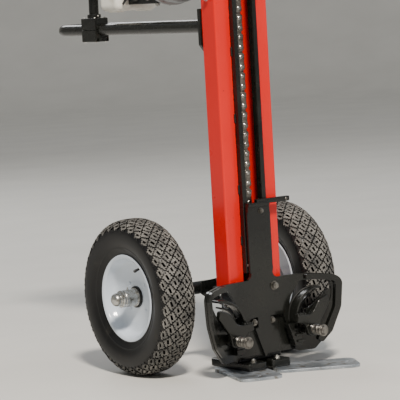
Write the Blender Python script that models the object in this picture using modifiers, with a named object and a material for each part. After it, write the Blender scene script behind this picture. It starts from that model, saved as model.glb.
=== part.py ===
"""Walk-behind splitting rig: a slotted chain mast on two pneumatic wheels, with a
sliding carriage, a rear tube loop, a small petrol engine and a handle.

Metres, +Z up. The machine frame has X to the right, Y to the rear, y = 0 at the mast's
front face and z = 0 on the ground. The object's origin is under the middle of its box,
so every piece hangs on one empty, MACHINE_Y in front of the middle.
"""
import math

import bmesh
import bpy
from mathutils import Matrix, Vector

# ------------------------------------------------------------- driving dimensions
GAP = 0.0003                 # clearance between touching pieces
MACHINE_Y = -0.3213          # from the middle of the object's box to the mast's front face

MAST_HALF = 0.085            # half of the mast's width
MAST_DEPTH = 0.062
MAST_WALL = 0.005
MAST_LOW = 0.228
MAST_TOP = 1.200
SLOT_HALF = 0.0386
RAIL_INNER = 0.0250          # rails reach from here to the slot's edge
RAIL_PROUD = 0.0156
RAIL_BACK = 0.0064
RAIL_LOW = 0.262
RAIL_TOP = 1.165

CHAIN_PITCH = 0.0254
SPROCKET_TEETH = 8
PITCH_RADIUS = CHAIN_PITCH / 2 / math.sin(math.pi / SPROCKET_TEETH)
CHAIN_HEIGHT = 0.024         # across the link plates
CHAIN_WIDTH = 0.030          # along the pins
CHAIN_Y = 0.022
HEAD_Z = 1.130               # head sprocket's axis
IDLER_Z = HEAD_Z - 33 * CHAIN_PITCH
SHAFT_HOLE = 0.014           # radius that the sprocket's shaft passes through

PLATE_FRONT = -0.030         # carriage plate's front face
PLATE_THICK = 0.010
CARRIAGE_TOP = 0.440
WING_START = 0.085           # the plate bends forward from here
WING_HALF = 0.2205
WING_REACH = 0.050           # how far forward the wing tips stand
PIVOT_X = 0.123
PIVOT_Z = 0.100
JAW_FRONT = -0.080
JAW_THICK = 0.014

WHEEL_X = 0.2329             # from the middle to a tyre's middle plane
AXLE_Y = 0.2078
AXLE_Z = 0.208
TYRE_RADIUS = 0.208
TYRE_WIDTH = 0.1064
AXLE_RADIUS = 0.012

LOOP_HALF = 0.066
LOOP_Z = 0.909
LOOP_END = 0.808             # middle of the end bend
TUBE_RADIUS = 0.016
CLAMP_Y = 0.600
GRIP_Z = 1.085
HANDLE_Y = 0.620

ENGINE_Z = 1.072             # crankshaft axis
GEARBOX_BACK = 0.150
CLUTCH_BACK = 0.310
CRANKCASE_BACK = 0.412
HOUSING_Y = (GEARBOX_BACK + CLUTCH_BACK) / 2   # middle of the clutch housing
TANK_Y = CRANKCASE_BACK + 0.109                # middle of the fuel tank
TANK_TOP = 1.046

# ------------------------------------------------------------- finishes
FINISHES = {
    "red_paint": ((0.82, 0.045, 0.030), 0.35, 0.0),
    "black_paint": ((0.022, 0.024, 0.021), 0.30, 0.0),
    "bright_steel": ((0.62, 0.62, 0.60), 0.32, 1.0),
    "chain_steel": ((0.20, 0.19, 0.18), 0.45, 1.0),
    "plate_steel": ((0.40, 0.42, 0.44), 0.50, 1.0),
    "white_rim": ((0.80, 0.84, 0.90), 0.25, 0.0),
    "tyre_rubber": ((0.035, 0.035, 0.036), 0.80, 0.0),
    "white_plastic": ((0.80, 0.79, 0.75), 0.40, 0.0),
    "black_plastic": ((0.030, 0.030, 0.032), 0.50, 0.0),
    "cast_aluminium": ((0.50, 0.51, 0.52), 0.45, 1.0),
    "grip_rubber": ((0.025, 0.025, 0.026), 0.85, 0.0),
}

materials = {}
pivots = {}
parts = None
tools = None


def clear_scene():
    for old in list(bpy.data.objects):
        bpy.data.objects.remove(old, do_unlink=True)


def collection(name):
    made = bpy.data.collections.new(name)
    bpy.context.scene.collection.children.link(made)
    return made


def material(finish):
    if finish not in materials:
        color, roughness, metallic = FINISHES[finish]
        made = bpy.data.materials.new(finish)
        made.use_nodes = True
        shader = made.node_tree.nodes["Principled BSDF"]
        shader.inputs["Base Color"].default_value = (*color, 1.0)
        shader.inputs["Roughness"].default_value = roughness
        shader.inputs["Metallic"].default_value = metallic
        materials[finish] = made
    return materials[finish]


def pivot(name, at, parent=None):
    """An empty at a place in the machine frame, for the pieces that move with it."""
    made = bpy.data.objects.new(name + "_pivot", None)
    parts.objects.link(made)
    made.empty_display_size = 0.03
    made["machine"] = at
    base = Vector((0.0, 0.0, 0.0))
    if parent:
        made.parent = pivots[parent]
        base = Vector(pivots[parent]["machine"])
    made.location = Vector(at) - base
    pivots[name] = made
    return made


def settle(piece, name, on, finish, at):
    """Name a piece, give it its finish and hang it on its empty."""
    piece.name = name
    piece.data.name = name
    piece.data.materials.clear()
    piece.data.materials.append(material(finish))
    for home in list(piece.users_collection):
        home.objects.unlink(piece)
    parts.objects.link(piece)
    piece.parent = pivots[on]
    piece.location = Vector(at) - Vector(pivots[on]["machine"])
    return piece


def smooth(piece, angle=35.0):
    piece.data.shade_smooth()
    piece.data.set_sharp_from_angle(angle=math.radians(angle))
    return piece


def bake_curve(curve_object):
    """The curve's evaluated shape as a mesh object with its caps welded."""
    graph = bpy.context.evaluated_depsgraph_get()
    graph.update()
    mesh = bpy.data.meshes.new_from_object(curve_object.evaluated_get(graph))
    made = bpy.data.objects.new(curve_object.name, mesh)
    bpy.context.scene.collection.objects.link(made)
    made.matrix_world = curve_object.matrix_world.copy()
    bpy.data.objects.remove(curve_object, do_unlink=True)
    work = bmesh.new()
    work.from_mesh(mesh)
    bmesh.ops.remove_doubles(work, verts=work.verts, dist=0.00001)
    bmesh.ops.recalc_face_normals(work, faces=work.faces)
    work.to_mesh(mesh)
    work.free()
    return made


def rounded(corners, step=30.0):
    """Points of a closed outline from (x, y, radius) corners, with arcs at the corners."""
    points = []
    count = len(corners)
    for index, (x, y, radius) in enumerate(corners):
        here = Vector((x, y))
        if radius <= 0.0:
            points.append(here)
            continue
        before = Vector(corners[index - 1][:2]) - here
        after = Vector(corners[(index + 1) % count][:2]) - here
        angle = before.angle(after)
        reach = radius / math.tan(angle / 2)
        start = here + before.normalized() * reach
        centre = here + (before.normalized() + after.normalized()).normalized() * (
            radius / math.sin(angle / 2))
        turn = (start - centre).angle_signed(here + after.normalized() * reach - centre)
        steps = max(2, math.ceil(abs(math.degrees(turn)) / step))
        arm = start - centre
        for k in range(steps + 1):
            spin = Matrix.Rotation(-turn * k / steps, 2)
            points.append(centre + spin @ arm)
    return points


def ring(x, y, radius, sides=20):
    """Points of a circle."""
    return [Vector((x + radius * math.cos(2 * math.pi * k / sides),
                    y + radius * math.sin(2 * math.pi * k / sides))) for k in range(sides)]


def flat(outlines, thick):
    """A flat plate from closed outlines, the first outside and the others holes."""
    curve = bpy.data.curves.new("flat", 'CURVE')
    curve.dimensions = '2D'
    curve.fill_mode = 'BOTH'
    curve.extrude = thick / 2
    curve.render_resolution_u = 0
    for points in outlines:
        spline = curve.splines.new('POLY')
        spline.points.add(len(points) - 1)
        for slot, point in zip(spline.points, points):
            slot.co = (point[0], point[1], 0.0, 1.0)
        spline.use_cyclic_u = True
    holder = bpy.data.objects.new("flat", curve)
    bpy.context.scene.collection.objects.link(holder)
    return bake_curve(holder)


def plate_xz(name, on, finish, outlines, front, thick):
    """A plate whose outline lies in X-Z, from y = front to y = front + thick."""
    piece = flat(outlines, thick)
    piece.data.transform(Matrix.Rotation(math.radians(90), 4, 'X'))
    return settle(piece, name, on, finish, (0.0, front + thick / 2, 0.0))


def plate_xy(name, on, finish, outlines, low, high):
    """A prism whose outline lies in X-Y, from z = low to z = high."""
    piece = flat(outlines, high - low)
    return settle(piece, name, on, finish, (0.0, 0.0, (low + high) / 2))


def plate_yz(name, on, finish, outlines, left, thick):
    """A plate whose outline lies in Y-Z, from x = left to x = left + thick."""
    piece = flat(outlines, thick)
    turn = Matrix(((0, 0, 1, 0), (1, 0, 0, 0), (0, 1, 0, 0), (0, 0, 0, 1)))
    piece.data.transform(turn)
    return settle(piece, name, on, finish, (left + thick / 2, 0.0, 0.0))


def box(name, on, finish, low, high, bevel=0.0):
    """A box between two corners, its edges rounded when a width is given."""
    bpy.ops.mesh.primitive_cube_add(size=1.0)
    piece = bpy.context.object
    size = [b - a for a, b in zip(low, high)]
    piece.data.transform(Matrix.Diagonal((*size, 1.0)))
    if bevel:
        edge = piece.modifiers.new("edges", 'BEVEL')
        edge.width = bevel
        edge.segments = 2
        edge.limit_method = 'NONE'
    middle = [(a + b) / 2 for a, b in zip(low, high)]
    return settle(piece, name, on, finish, middle)


def rod(name, on, finish, start, end, radius, sides=20):
    """A straight round bar."""
    start, end = Vector(start), Vector(end)
    bpy.ops.mesh.primitive_cylinder_add(vertices=sides, radius=radius,
                                        depth=(end - start).length)
    piece = bpy.context.object
    piece.data.transform((end - start).to_track_quat('Z', 'Y').to_matrix().to_4x4())
    smooth(piece)
    return settle(piece, name, on, finish, (start + end) / 2)


def turned(name, on, finish, profile, axis, at, sides=24):
    """A shape turned about an axis from closed (radius, along) points."""
    mesh = bpy.data.meshes.new(name)
    piece = bpy.data.objects.new(name, mesh)
    bpy.context.scene.collection.objects.link(piece)
    work = bmesh.new()
    corners = [work.verts.new((radius, 0.0, along)) for radius, along in profile]
    edges = [work.edges.new((a, b)) for a, b in zip(corners, corners[1:])]
    if profile[0][0] > 0.0 or profile[-1][0] > 0.0:
        edges.append(work.edges.new((corners[-1], corners[0])))
    bmesh.ops.spin(work, geom=corners + edges, axis=(0, 0, 1), cent=(0, 0, 0), steps=sides,
                   angle=2 * math.pi, use_merge=True)
    bmesh.ops.remove_doubles(work, verts=work.verts, dist=0.00001)
    bmesh.ops.dissolve_degenerate(work, edges=work.edges, dist=0.00001)
    bmesh.ops.recalc_face_normals(work, faces=work.faces)
    work.to_mesh(mesh)
    work.free()
    mesh.transform(Vector(axis).to_track_quat('Z', 'Y').to_matrix().to_4x4())
    smooth(piece)
    return settle(piece, name, on, finish, at)


def tube(name, on, finish, points, radius, resolution=3, at=(0.0, 0.0, 0.0)):
    """A round tube along points, given from the place `at`, with filled ends."""
    curve = bpy.data.curves.new(name, 'CURVE')
    curve.dimensions = '3D'
    curve.bevel_depth = radius
    curve.bevel_resolution = resolution
    curve.use_fill_caps = True
    curve.render_resolution_u = 0
    spline = curve.splines.new('POLY')
    spline.points.add(len(points) - 1)
    for slot, point in zip(spline.points, points):
        slot.co = (*point, 1.0)
    holder = bpy.data.objects.new(name, curve)
    bpy.context.scene.collection.objects.link(holder)
    piece = bake_curve(holder)
    smooth(piece)
    return settle(piece, name, on, finish, at)


def cut(piece, cutter):
    """Take a cutter out of a piece."""
    cutter.name = piece.name + "_cutter"
    for home in list(cutter.users_collection):
        home.objects.unlink(cutter)
    tools.objects.link(cutter)
    cutter.hide_render = True
    cutter.display_type = 'WIRE'
    change = piece.modifiers.new("cut", 'BOOLEAN')
    change.operation = 'DIFFERENCE'
    change.solver = 'EXACT'
    change.object = cutter


def cutter_rod(start, end, radius, sides=20):
    start, end = Vector(start), Vector(end)
    bpy.ops.mesh.primitive_cylinder_add(vertices=sides, radius=radius,
                                        depth=(end - start).length)
    piece = bpy.context.object
    piece.data.transform((end - start).to_track_quat('Z', 'Y').to_matrix().to_4x4())
    piece.parent = pivots["machine"]
    piece.location = (start + end) / 2
    return piece


def cutter_box(low, high):
    bpy.ops.mesh.primitive_cube_add(size=1.0)
    piece = bpy.context.object
    size = [b - a for a, b in zip(low, high)]
    piece.data.transform(Matrix.Diagonal((*size, 1.0)))
    piece.parent = pivots["machine"]
    piece.location = (Vector(low) + Vector(high)) / 2
    return piece


def both(corners, side):
    """Outline corners for the right side, mirrored for the left."""
    if side > 0:
        return corners
    return [(-x, y, r) for x, y, r in reversed(corners)]


# ------------------------------------------------------------- mast and base
def make_mast():
    wall = MAST_WALL
    outside = [(-MAST_HALF, 0, 0.006), (-MAST_HALF, MAST_DEPTH, 0.006),
               (MAST_HALF, MAST_DEPTH, 0.006), (MAST_HALF, 0, 0.006), (SLOT_HALF, 0, 0),
               (SLOT_HALF, wall, 0), (MAST_HALF - wall, wall, 0),
               (MAST_HALF - wall, MAST_DEPTH - wall, 0),
               (-MAST_HALF + wall, MAST_DEPTH - wall, 0), (-MAST_HALF + wall, wall, 0),
               (-SLOT_HALF, wall, 0), (-SLOT_HALF, 0, 0)]
    mast = plate_xy("mast_channel", "machine", "red_paint", [rounded(outside)],
                    MAST_LOW, MAST_TOP)
    cut(mast, cutter_rod((-PITCH_RADIUS, 0.050, HEAD_Z), (-PITCH_RADIUS, 0.070, HEAD_Z),
                         SHAFT_HOLE))
    for side, word in ((-1, "left"), (1, "right")):
        edges = sorted((side * RAIL_INNER, side * (SLOT_HALF - GAP)))
        box("guide_rail_" + word, "machine", "black_paint", (edges[0], -RAIL_PROUD, RAIL_LOW),
            (edges[1], RAIL_BACK, RAIL_TOP), 0.001)
    box("mast_top_cap", "machine", "black_paint", (-0.089, -0.019, MAST_TOP + GAP),
        (0.089, 0.066, MAST_TOP + 0.012), 0.003)


def make_base():
    front, back, half, wall = 0.002, 0.060, 0.075, 0.006
    outer = rounded([(-half, front, 0.006), (-half, back, 0.006), (half, back, 0.006),
                     (half, front, 0.006)])
    inner = rounded([(-half + wall, front + wall, 0), (-half + wall, back - wall, 0),
                     (half - wall, back - wall, 0), (half - wall, front + wall, 0)])
    plate_xy("mast_foot", "machine", "black_paint", [outer, inner], 0.0286, MAST_LOW - GAP)
    for side, word in ((-1, "left"), (1, "right")):
        inside, outside = sorted((side * 0.008, side * 0.070))
        pad = rounded([(inside, -0.045, 0.008), (inside, 0.130, 0.012),
                       (outside, 0.130, 0.012), (outside, -0.045, 0.008)])
        plate_xy("foot_pad_" + word, "machine", "black_paint", [pad], 0.0083, 0.0283)
    long, wide, corner = 0.225, 0.118, 0.024
    for word, angle, middle in (("left", -16.0, (-0.061, -0.028)),
                                ("right", 62.0, (0.118, -0.085))):
        plate = [(-wide / 2, -long / 2, corner), (-wide / 2, long / 2, corner),
                 (wide / 2, long / 2, corner), (wide / 2, -long / 2, corner)]
        spin = Matrix.Rotation(math.radians(angle), 2)
        outline = [spin @ p + Vector(middle) for p in rounded(plate)]
        plate_xy("ground_plate_" + word, "machine", "plate_steel", [outline], 0.0, 0.008)


def make_axle():
    web = [(0.0626, 0.170, 0), (0.0626, 0.244, 0.004), (0.105, 0.244, 0.010),
           (AXLE_Y - 0.0175, 0.226, 0.004), (AXLE_Y - 0.0175, 0.190, 0.004),
           (0.105, 0.170, 0.010)]
    plate_yz("axle_bracket", "machine", "black_paint", [rounded(web)], -0.042, 0.084)
    thick, thin, shoulder, end = 0.0172, AXLE_RADIUS, 0.166, 0.288
    profile = [(0, -end), (thin, -end), (thin, -shoulder), (thick, -shoulder),
               (thick, shoulder), (thin, shoulder), (thin, end), (0, end)]
    turned("axle_shaft", "machine", "black_paint", profile, (1, 0, 0), (0, AXLE_Y, AXLE_Z), 20)


def make_wheel(side, word):
    on = "wheel_" + word
    at = (side * WHEEL_X, AXLE_Y, AXLE_Z)
    out = (side, 0, 0)
    half = TYRE_WIDTH / 2
    bead, wall = 0.1075, 0.007
    crown, flank, shoulder = TYRE_RADIUS, 0.160, 0.194
    tyre = [(bead, -0.033), (0.119, -0.0375), (flank - 0.012, -half), (flank + 0.012, -half),
            (shoulder, -half + 0.007), (crown - 0.003, -half + 0.024),
            (crown, -half + 0.040), (crown, half - 0.040),
            (crown - 0.003, half - 0.024), (shoulder, half - 0.007), (flank + 0.012, half),
            (flank - 0.012, half), (0.119, 0.0375), (bead, 0.033), (bead, 0.033 - wall),
            (flank, half - wall), (shoulder - wall, half - 3 * wall),
            (shoulder - wall, -half + 3 * wall), (flank, -half + wall),
            (bead, -0.033 + wall)]
    turned("tyre_" + word, on, "tyre_rubber", tyre, out, at, 28)
    seat, skin = bead - GAP, 0.003
    rim = [(seat - skin, -0.036), (0.114, -0.041), (0.116, -0.0385), (seat, -0.0335),
           (seat, 0.0335), (0.116, 0.0385), (0.114, 0.041), (seat - skin, 0.036),
           (0.098, 0.016), (0.080, 0.004), (0.040, 0.000), (0.0235, 0.004),
           (0.0235, -0.002), (0.040, -0.004), (0.080, 0.000), (0.099, -0.010)]
    turned("rim_" + word, on, "white_rim", rim, out, at, 28)
    hub = [(AXLE_RADIUS + 0.0006, -0.050), (0.0225, -0.050), (0.0225, -0.0025),
           (0.0232, -0.0025), (0.0232, 0.0045), (0.0225, 0.0045), (0.0225, 0.058),
           (0.0175, 0.062), (0.0165, 0.074), (0.011, 0.081), (0.0, 0.083), (0.0, 0.060),
           (AXLE_RADIUS + 0.0006, 0.060)]
    turned("hub_" + word, on, "bright_steel", hub, out, at, 16)


# ------------------------------------------------------------- chain drive
def make_chain():
    half = CHAIN_HEIGHT / 2

    def stadium(radius):
        bottom = [(-PITCH_RADIUS - radius * math.cos(a), IDLER_Z - radius * math.sin(a))
                  for a in (math.pi * k / 12 for k in range(13))]
        top = [(-PITCH_RADIUS + radius * math.cos(a), HEAD_Z + radius * math.sin(a))
               for a in (math.pi * k / 12 for k in range(13))]
        return [Vector(p) for p in bottom + top]

    plate_xz("drive_chain", "machine", "chain_steel",
             [stadium(PITCH_RADIUS + half), stadium(PITCH_RADIUS - half)],
             CHAIN_Y - CHAIN_WIDTH / 2, CHAIN_WIDTH)
    disc, disc_half, shaft = PITCH_RADIUS - half - 0.0006, 0.011, 0.0125
    head = [(0, -disc_half), (disc, -disc_half), (disc, disc_half), (shaft, disc_half),
            (shaft, 0.0522), (0, 0.0522)]
    turned("head_sprocket", "head_drive", "chain_steel", head, (0, 1, 0),
           (-PITCH_RADIUS, CHAIN_Y, HEAD_Z), 24)
    pin = 0.008
    idler = [(0, -disc_half), (disc, -disc_half), (disc, disc_half), (pin, disc_half),
             (pin, MAST_DEPTH - MAST_WALL - CHAIN_Y - GAP),
             (0, MAST_DEPTH - MAST_WALL - CHAIN_Y - GAP)]
    turned("foot_idler", "foot_drive", "chain_steel", idler, (0, 1, 0),
           (-PITCH_RADIUS, CHAIN_Y, IDLER_Z), 24)


# ------------------------------------------------------------- carriage
def bend_forward(x):
    """How far the plate has bent forward at a distance x from the middle."""
    share = (abs(x) - WING_START) / (WING_HALF - WING_START)
    return WING_REACH * max(0.0, share) ** 1.5


def bend(piece, cuts=9):
    """Bend a flat X-Z piece forward along the wings."""
    work = bmesh.new()
    work.from_mesh(piece.data)
    for side in (-1, 1):
        for k in range(cuts):
            x = WING_START + (WING_HALF - WING_START) * k / cuts
            bmesh.ops.bisect_plane(work, geom=work.verts[:] + work.edges[:] + work.faces[:],
                                   plane_co=(side * x, 0, 0), plane_no=(1, 0, 0), dist=1e-6)
    for vertex in work.verts:
        vertex.co.y -= bend_forward(vertex.co.x)
    bmesh.ops.triangulate(work, faces=work.faces)
    work.to_mesh(piece.data)
    work.free()


def make_carriage_plate():
    right = [(0.035, CARRIAGE_TOP, 0.003), (0.035, 0.2445, 0.014), (0.150, 0.2435, 0.050),
             (0.2205, 0.234, 0.026), (0.214, 0.150, 0.060), (0.190, 0.085, 0.020),
             (0.150, 0.040, 0.014), (0.100, 0.040, 0.012), (0.062, 0.1454, 0.006),
             (0.0206, 0.1454, 0.0), (0.0206, 0.1186, 0.0), (0.031, 0.116, 0.002)]
    outline = rounded(right + [(0.0, 0.034, 0.003)] + both(right, -1))
    hole = [(0.118, 0.227, 0.012), (0.088, 0.186, 0.050), (0.079, 0.132, 0.012),
            (0.168, 0.128, 0.014), (0.196, 0.170, 0.050), (0.200, 0.224, 0.020)]
    holes = [rounded(both(hole, side)) for side in (-1, 1)]
    piece = plate_xz("carriage_plate", "carriage", "black_paint", [outline] + holes,
                     PLATE_FRONT, PLATE_THICK)
    bend(piece)


def make_wing_rims():
    """The raised lip round each wing's outer edge."""
    for side, word in ((-1, "left"), (1, "right")):
        lip = [(0.150, 0.2425, 0.045), (0.2195, 0.233, 0.025), (0.213, 0.150, 0.060),
               (0.189, 0.086, 0.020), (0.163, 0.057, 0.002), (0.151, 0.069, 0.002),
               (0.175, 0.097, 0.016), (0.198, 0.150, 0.060), (0.203, 0.2195, 0.012),
               (0.150, 0.2275, 0.040), (0.128, 0.2275, 0.003), (0.128, 0.2425, 0.003)]
        thick = 0.012
        piece = plate_xz("wing_rim_" + word, "carriage", "black_paint",
                         [rounded(both(lip, side))], PLATE_FRONT - thick - GAP, thick)
        bend(piece)


def make_carriage_guides():
    """Angles that pass between the rails and run behind them."""
    for side, word in ((-1, "left"), (1, "right")):
        section = [(0.0180, PLATE_FRONT + PLATE_THICK + GAP, 0), (0.0180, 0.0172, 0),
                   (0.0450, 0.0172, 0), (0.0450, 0.0104, 0), (0.0235, 0.0104, 0),
                   (0.0235, PLATE_FRONT + PLATE_THICK + GAP, 0)]
        plate_xy("guide_shoe_" + word, "carriage", "bright_steel",
                 [rounded(both(section, side))], 0.320, 0.432)
    box("chain_anchor", "carriage", "chain_steel", (-0.0175, PLATE_FRONT + PLATE_THICK + GAP,
        0.380), (0.0175, 0.0058, 0.4397), 0.002)
    box("striker_bar", "carriage", "black_paint", (-0.004, PLATE_FRONT, CARRIAGE_TOP + GAP),
        (0.104, -0.0170, CARRIAGE_TOP + 0.0135), 0.002)
    bpy.ops.mesh.primitive_cylinder_add(vertices=6, radius=0.0095, depth=0.007)
    head = bpy.context.object
    head.data.transform(Matrix.Rotation(math.radians(90), 4, 'X'))
    settle(head, "plate_bolt", "carriage", "bright_steel",
           (0.0375, PLATE_FRONT - GAP - 0.0035, 0.2226))


def make_jaws():
    """Hooked jaws on pivot bolts, each pressed back by a spring."""
    boss = 0.014
    surface = PLATE_FRONT - bend_forward(PIVOT_X + boss) - 2 * GAP
    for side, word in ((-1, "left"), (1, "right")):
        hook = [(0.108, 0.082, 0.012), (0.142, 0.084, 0.016), (0.147, 0.118, 0.020),
                (0.182, 0.166, 0.010), (0.178, 0.188, 0.008), (0.146, 0.176, 0.030),
                (0.121, 0.140, 0.026), (0.074, 0.142, 0.005), (0.070, 0.122, 0.004),
                (0.096, 0.118, 0.016)]
        plate_xz("jaw_" + word, "jaw_" + word, "black_paint",
                 [rounded(both(hook, side)), ring(side * PIVOT_X, PIVOT_Z, 0.0078)],
                 JAW_FRONT, JAW_THICK)
        at = (side * PIVOT_X, 0.0, PIVOT_Z)
        shaft, disc, head = 0.007, 0.016, -0.118
        bolt = [(0, head - 0.008), (0.013, head - 0.008), (disc, head - 0.005), (disc, head),
                (shaft, head), (shaft, JAW_FRONT + JAW_THICK + 0.0006),
                (boss, JAW_FRONT + JAW_THICK + 0.0006), (boss, surface), (0, surface)]
        turned("pivot_bolt_" + word, "carriage", "bright_steel", bolt, (0, 1, 0), at, 20)
        turns, coil, wire = 4, 0.0118, 0.0026
        near, far = JAW_FRONT - wire - 0.001, head + wire + 0.0006
        steps = turns * 10
        points = [Vector((coil * math.cos(2 * math.pi * k / 10),
                          near + (far - near) * k / steps,
                          coil * math.sin(2 * math.pi * k / 10))) for k in range(steps + 1)]
        tube("pivot_spring_" + word, "carriage", "bright_steel", points, wire, 1, at)


# ------------------------------------------------------------- rear loop and handle
def make_rear_frame():
    plate = [(-0.088, 0.862, 0), (-0.088, 0.9564, 0), (0.088, 0.9564, 0),
             (0.088, 0.862, 0), (0.075, 0.845, 0.004), (-0.075, 0.845, 0.004)]
    plate_xz("loop_plate", "machine", "black_paint", [rounded(plate)],
             MAST_DEPTH + GAP, 0.0115)
    inner, outer, front, back = 0.0856, 0.0916, -0.004, MAST_DEPTH + 0.0118
    wrap = [(-outer, front, 0.002), (-outer, back, 0.008), (outer, back, 0.008),
            (outer, front, 0.002), (inner, front, 0), (inner, MAST_DEPTH + GAP, 0),
            (-inner, MAST_DEPTH + GAP, 0), (-inner, front, 0)]
    bracket = plate_xy("head_bracket", "machine", "black_paint", [rounded(wrap)], 0.957, 1.185)
    cut(bracket, cutter_rod((-PITCH_RADIUS, 0.055, HEAD_Z), (-PITCH_RADIUS, 0.080, HEAD_Z),
                            SHAFT_HOLE))
    start = MAST_DEPTH + 0.0121
    bend_radius = LOOP_HALF
    turn_y = LOOP_END - bend_radius
    arc = [(-LOOP_HALF * math.cos(a), turn_y + bend_radius * math.sin(a), LOOP_Z)
           for a in (math.pi * k / 14 for k in range(15))]
    points = [(-LOOP_HALF, start, LOOP_Z)] + arc + [(LOOP_HALF, start, LOOP_Z)]
    tube("rear_loop", "machine", "black_paint", points, TUBE_RADIUS, 4)


def make_clamp_and_handle():
    x, half_x, half_y = -LOOP_HALF, 0.022, 0.036
    for word, low, high in (("upper", LOOP_Z + 0.0003, LOOP_Z + 0.033),
                            ("lower", LOOP_Z - 0.033, LOOP_Z - 0.0003)):
        half = box("clamp_" + word, "machine", "black_paint",
                   (x - half_x, CLAMP_Y - half_y, low), (x + half_x, CLAMP_Y + half_y, high))
        cut(half, cutter_rod((x, CLAMP_Y - 0.05, LOOP_Z), (x, CLAMP_Y + 0.05, LOOP_Z),
                             TUBE_RADIUS + GAP, 24))
    start = (x, CLAMP_Y, LOOP_Z + 0.0333)
    knee = (x, CLAMP_Y, 1.010)
    tube("handle_post", "machine", "black_paint",
         [start, knee, (x, (CLAMP_Y + HANDLE_Y) / 2, 1.030), (x, HANDLE_Y, 1.050),
          (x, HANDLE_Y, GRIP_Z - 0.0130)], 0.014, 3)
    rod("handlebar", "machine", "black_paint", (x - 0.170, HANDLE_Y, GRIP_Z),
        (x + 0.180, HANDLE_Y, GRIP_Z), 0.0125)
    sleeve = [(0.0128, -0.060), (0.0175, -0.060), (0.0165, 0.0), (0.0175, 0.060),
              (0.0128, 0.060)]
    for word, middle in (("left", x - 0.106), ("right", x + 0.117)):
        turned("handle_grip_" + word, "machine", "grip_rubber", sleeve, (1, 0, 0),
               (middle, HANDLE_Y, GRIP_Z), 16)


def make_controls():
    x = -LOOP_HALF
    pod = box("control_pod", "machine", "black_plastic", (x + 0.018, HANDLE_Y - 0.020,
              GRIP_Z - 0.030), (x + 0.052, HANDLE_Y + 0.020, GRIP_Z + 0.022), 0.004)
    cut(pod, cutter_rod((x, HANDLE_Y, GRIP_Z), (x + 0.08, HANDLE_Y, GRIP_Z), 0.0128, 20))
    button_low = GRIP_Z + 0.0185
    cut(pod, cutter_box((x + 0.0264, HANDLE_Y - 0.0066, button_low - 0.0026),
                        (x + 0.0436, HANDLE_Y + 0.0066, GRIP_Z + 0.030)))
    lever = [(x + 0.0535, GRIP_Z - 0.026, 0.003), (x + 0.0535, GRIP_Z - 0.040, 0.003),
             (x + 0.150, GRIP_Z - 0.047, 0.004), (x + 0.170, GRIP_Z - 0.058, 0.003),
             (x + 0.174, GRIP_Z - 0.052, 0.003), (x + 0.152, GRIP_Z - 0.040, 0.004),
             (x + 0.075, GRIP_Z - 0.032, 0.006), (x + 0.070, GRIP_Z - 0.026, 0.003)]
    plate_xz("throttle_lever", "throttle_lever", "black_plastic", [rounded(lever)],
             HANDLE_Y - 0.010, 0.020)
    box("stop_button", "stop_button", "red_paint", (x + 0.027, HANDLE_Y - 0.006, button_low),
        (x + 0.043, HANDLE_Y + 0.006, button_low + 0.010), 0.001)


# ------------------------------------------------------------- power unit
def make_power_unit():
    case = [(-0.088, 1.105, 0.020), (-0.088, 1.176, 0.026), (0.030, 1.176, 0.030),
            (0.068, 1.120, 0.040), (0.068, 1.004, 0.040), (-0.050, 1.004, 0.040)]
    plate_xz("gearbox_housing", "machine", "cast_aluminium", [rounded(case)],
             MAST_DEPTH + 0.0122, GEARBOX_BACK - MAST_DEPTH - 0.0122)
    low, high = GEARBOX_BACK + GAP - HOUSING_Y, CLUTCH_BACK - HOUSING_Y
    bell = [(0.050, low), (0.056, low), (0.058, low + 0.050), (0.098, low + 0.105),
            (0.104, low + 0.110), (0.104, high), (0.097, high), (0.097, low + 0.115),
            (0.052, low + 0.056)]
    turned("clutch_housing", "machine", "cast_aluminium", bell, (0, 1, 0),
           (0, HOUSING_Y, ENGINE_Z))
    box("crankcase", "machine", "black_plastic", (-0.062, CLUTCH_BACK + GAP, 0.992),
        (0.062, CRANKCASE_BACK, 1.112), 0.010)
    box("cylinder_block", "machine", "cast_aluminium", (-0.042, CLUTCH_BACK + 0.010, 1.1124),
        (0.042, CRANKCASE_BACK - 0.008, 1.198), 0.006)
    cover = [(0, 0.0), (0.092, 0.0), (0.092, 0.030), (0.070, 0.048), (0.020, 0.052),
             (0.0, 0.052)]
    turned("recoil_cover", "machine", "black_plastic", cover, (0, 1, 0),
           (0, CRANKCASE_BACK + GAP, ENGINE_Z + 0.018))
    box("recoil_grip", "machine", "black_plastic", (0.020, CRANKCASE_BACK + 0.0530,
        ENGINE_Z + 0.060), (0.062, CRANKCASE_BACK + 0.0680, ENGINE_Z + 0.074), 0.004)
    box("fuel_tank", "machine", "white_plastic", (-0.070, TANK_Y - 0.049, 0.958),
        (0.070, TANK_Y + 0.049, TANK_TOP), 0.020)
    cap = [(0, 0.0), (0.021, 0.0), (0.023, 0.003), (0.023, 0.015), (0.019, 0.018), (0, 0.018)]
    turned("fuel_cap", "fuel_cap", "black_plastic", cap, (0, 0, 1),
           (0, TANK_Y, TANK_TOP + 0.0004), 20)
    box("muffler", "machine", "bright_steel", (0.0426, CLUTCH_BACK + 0.012, 1.116),
        (0.104, CRANKCASE_BACK - 0.010, 1.186), 0.008)
    box("air_filter_housing", "machine", "black_plastic", (-0.108, CLUTCH_BACK + 0.006, 1.116),
        (-0.0426, CRANKCASE_BACK - 0.004, 1.190), 0.008)
    box("tank_bracket", "machine", "black_paint", (-0.034, CLUTCH_BACK + 0.020, 0.9745),
        (0.034, CRANKCASE_BACK + 0.0597, 0.9917), 0.002)


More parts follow.
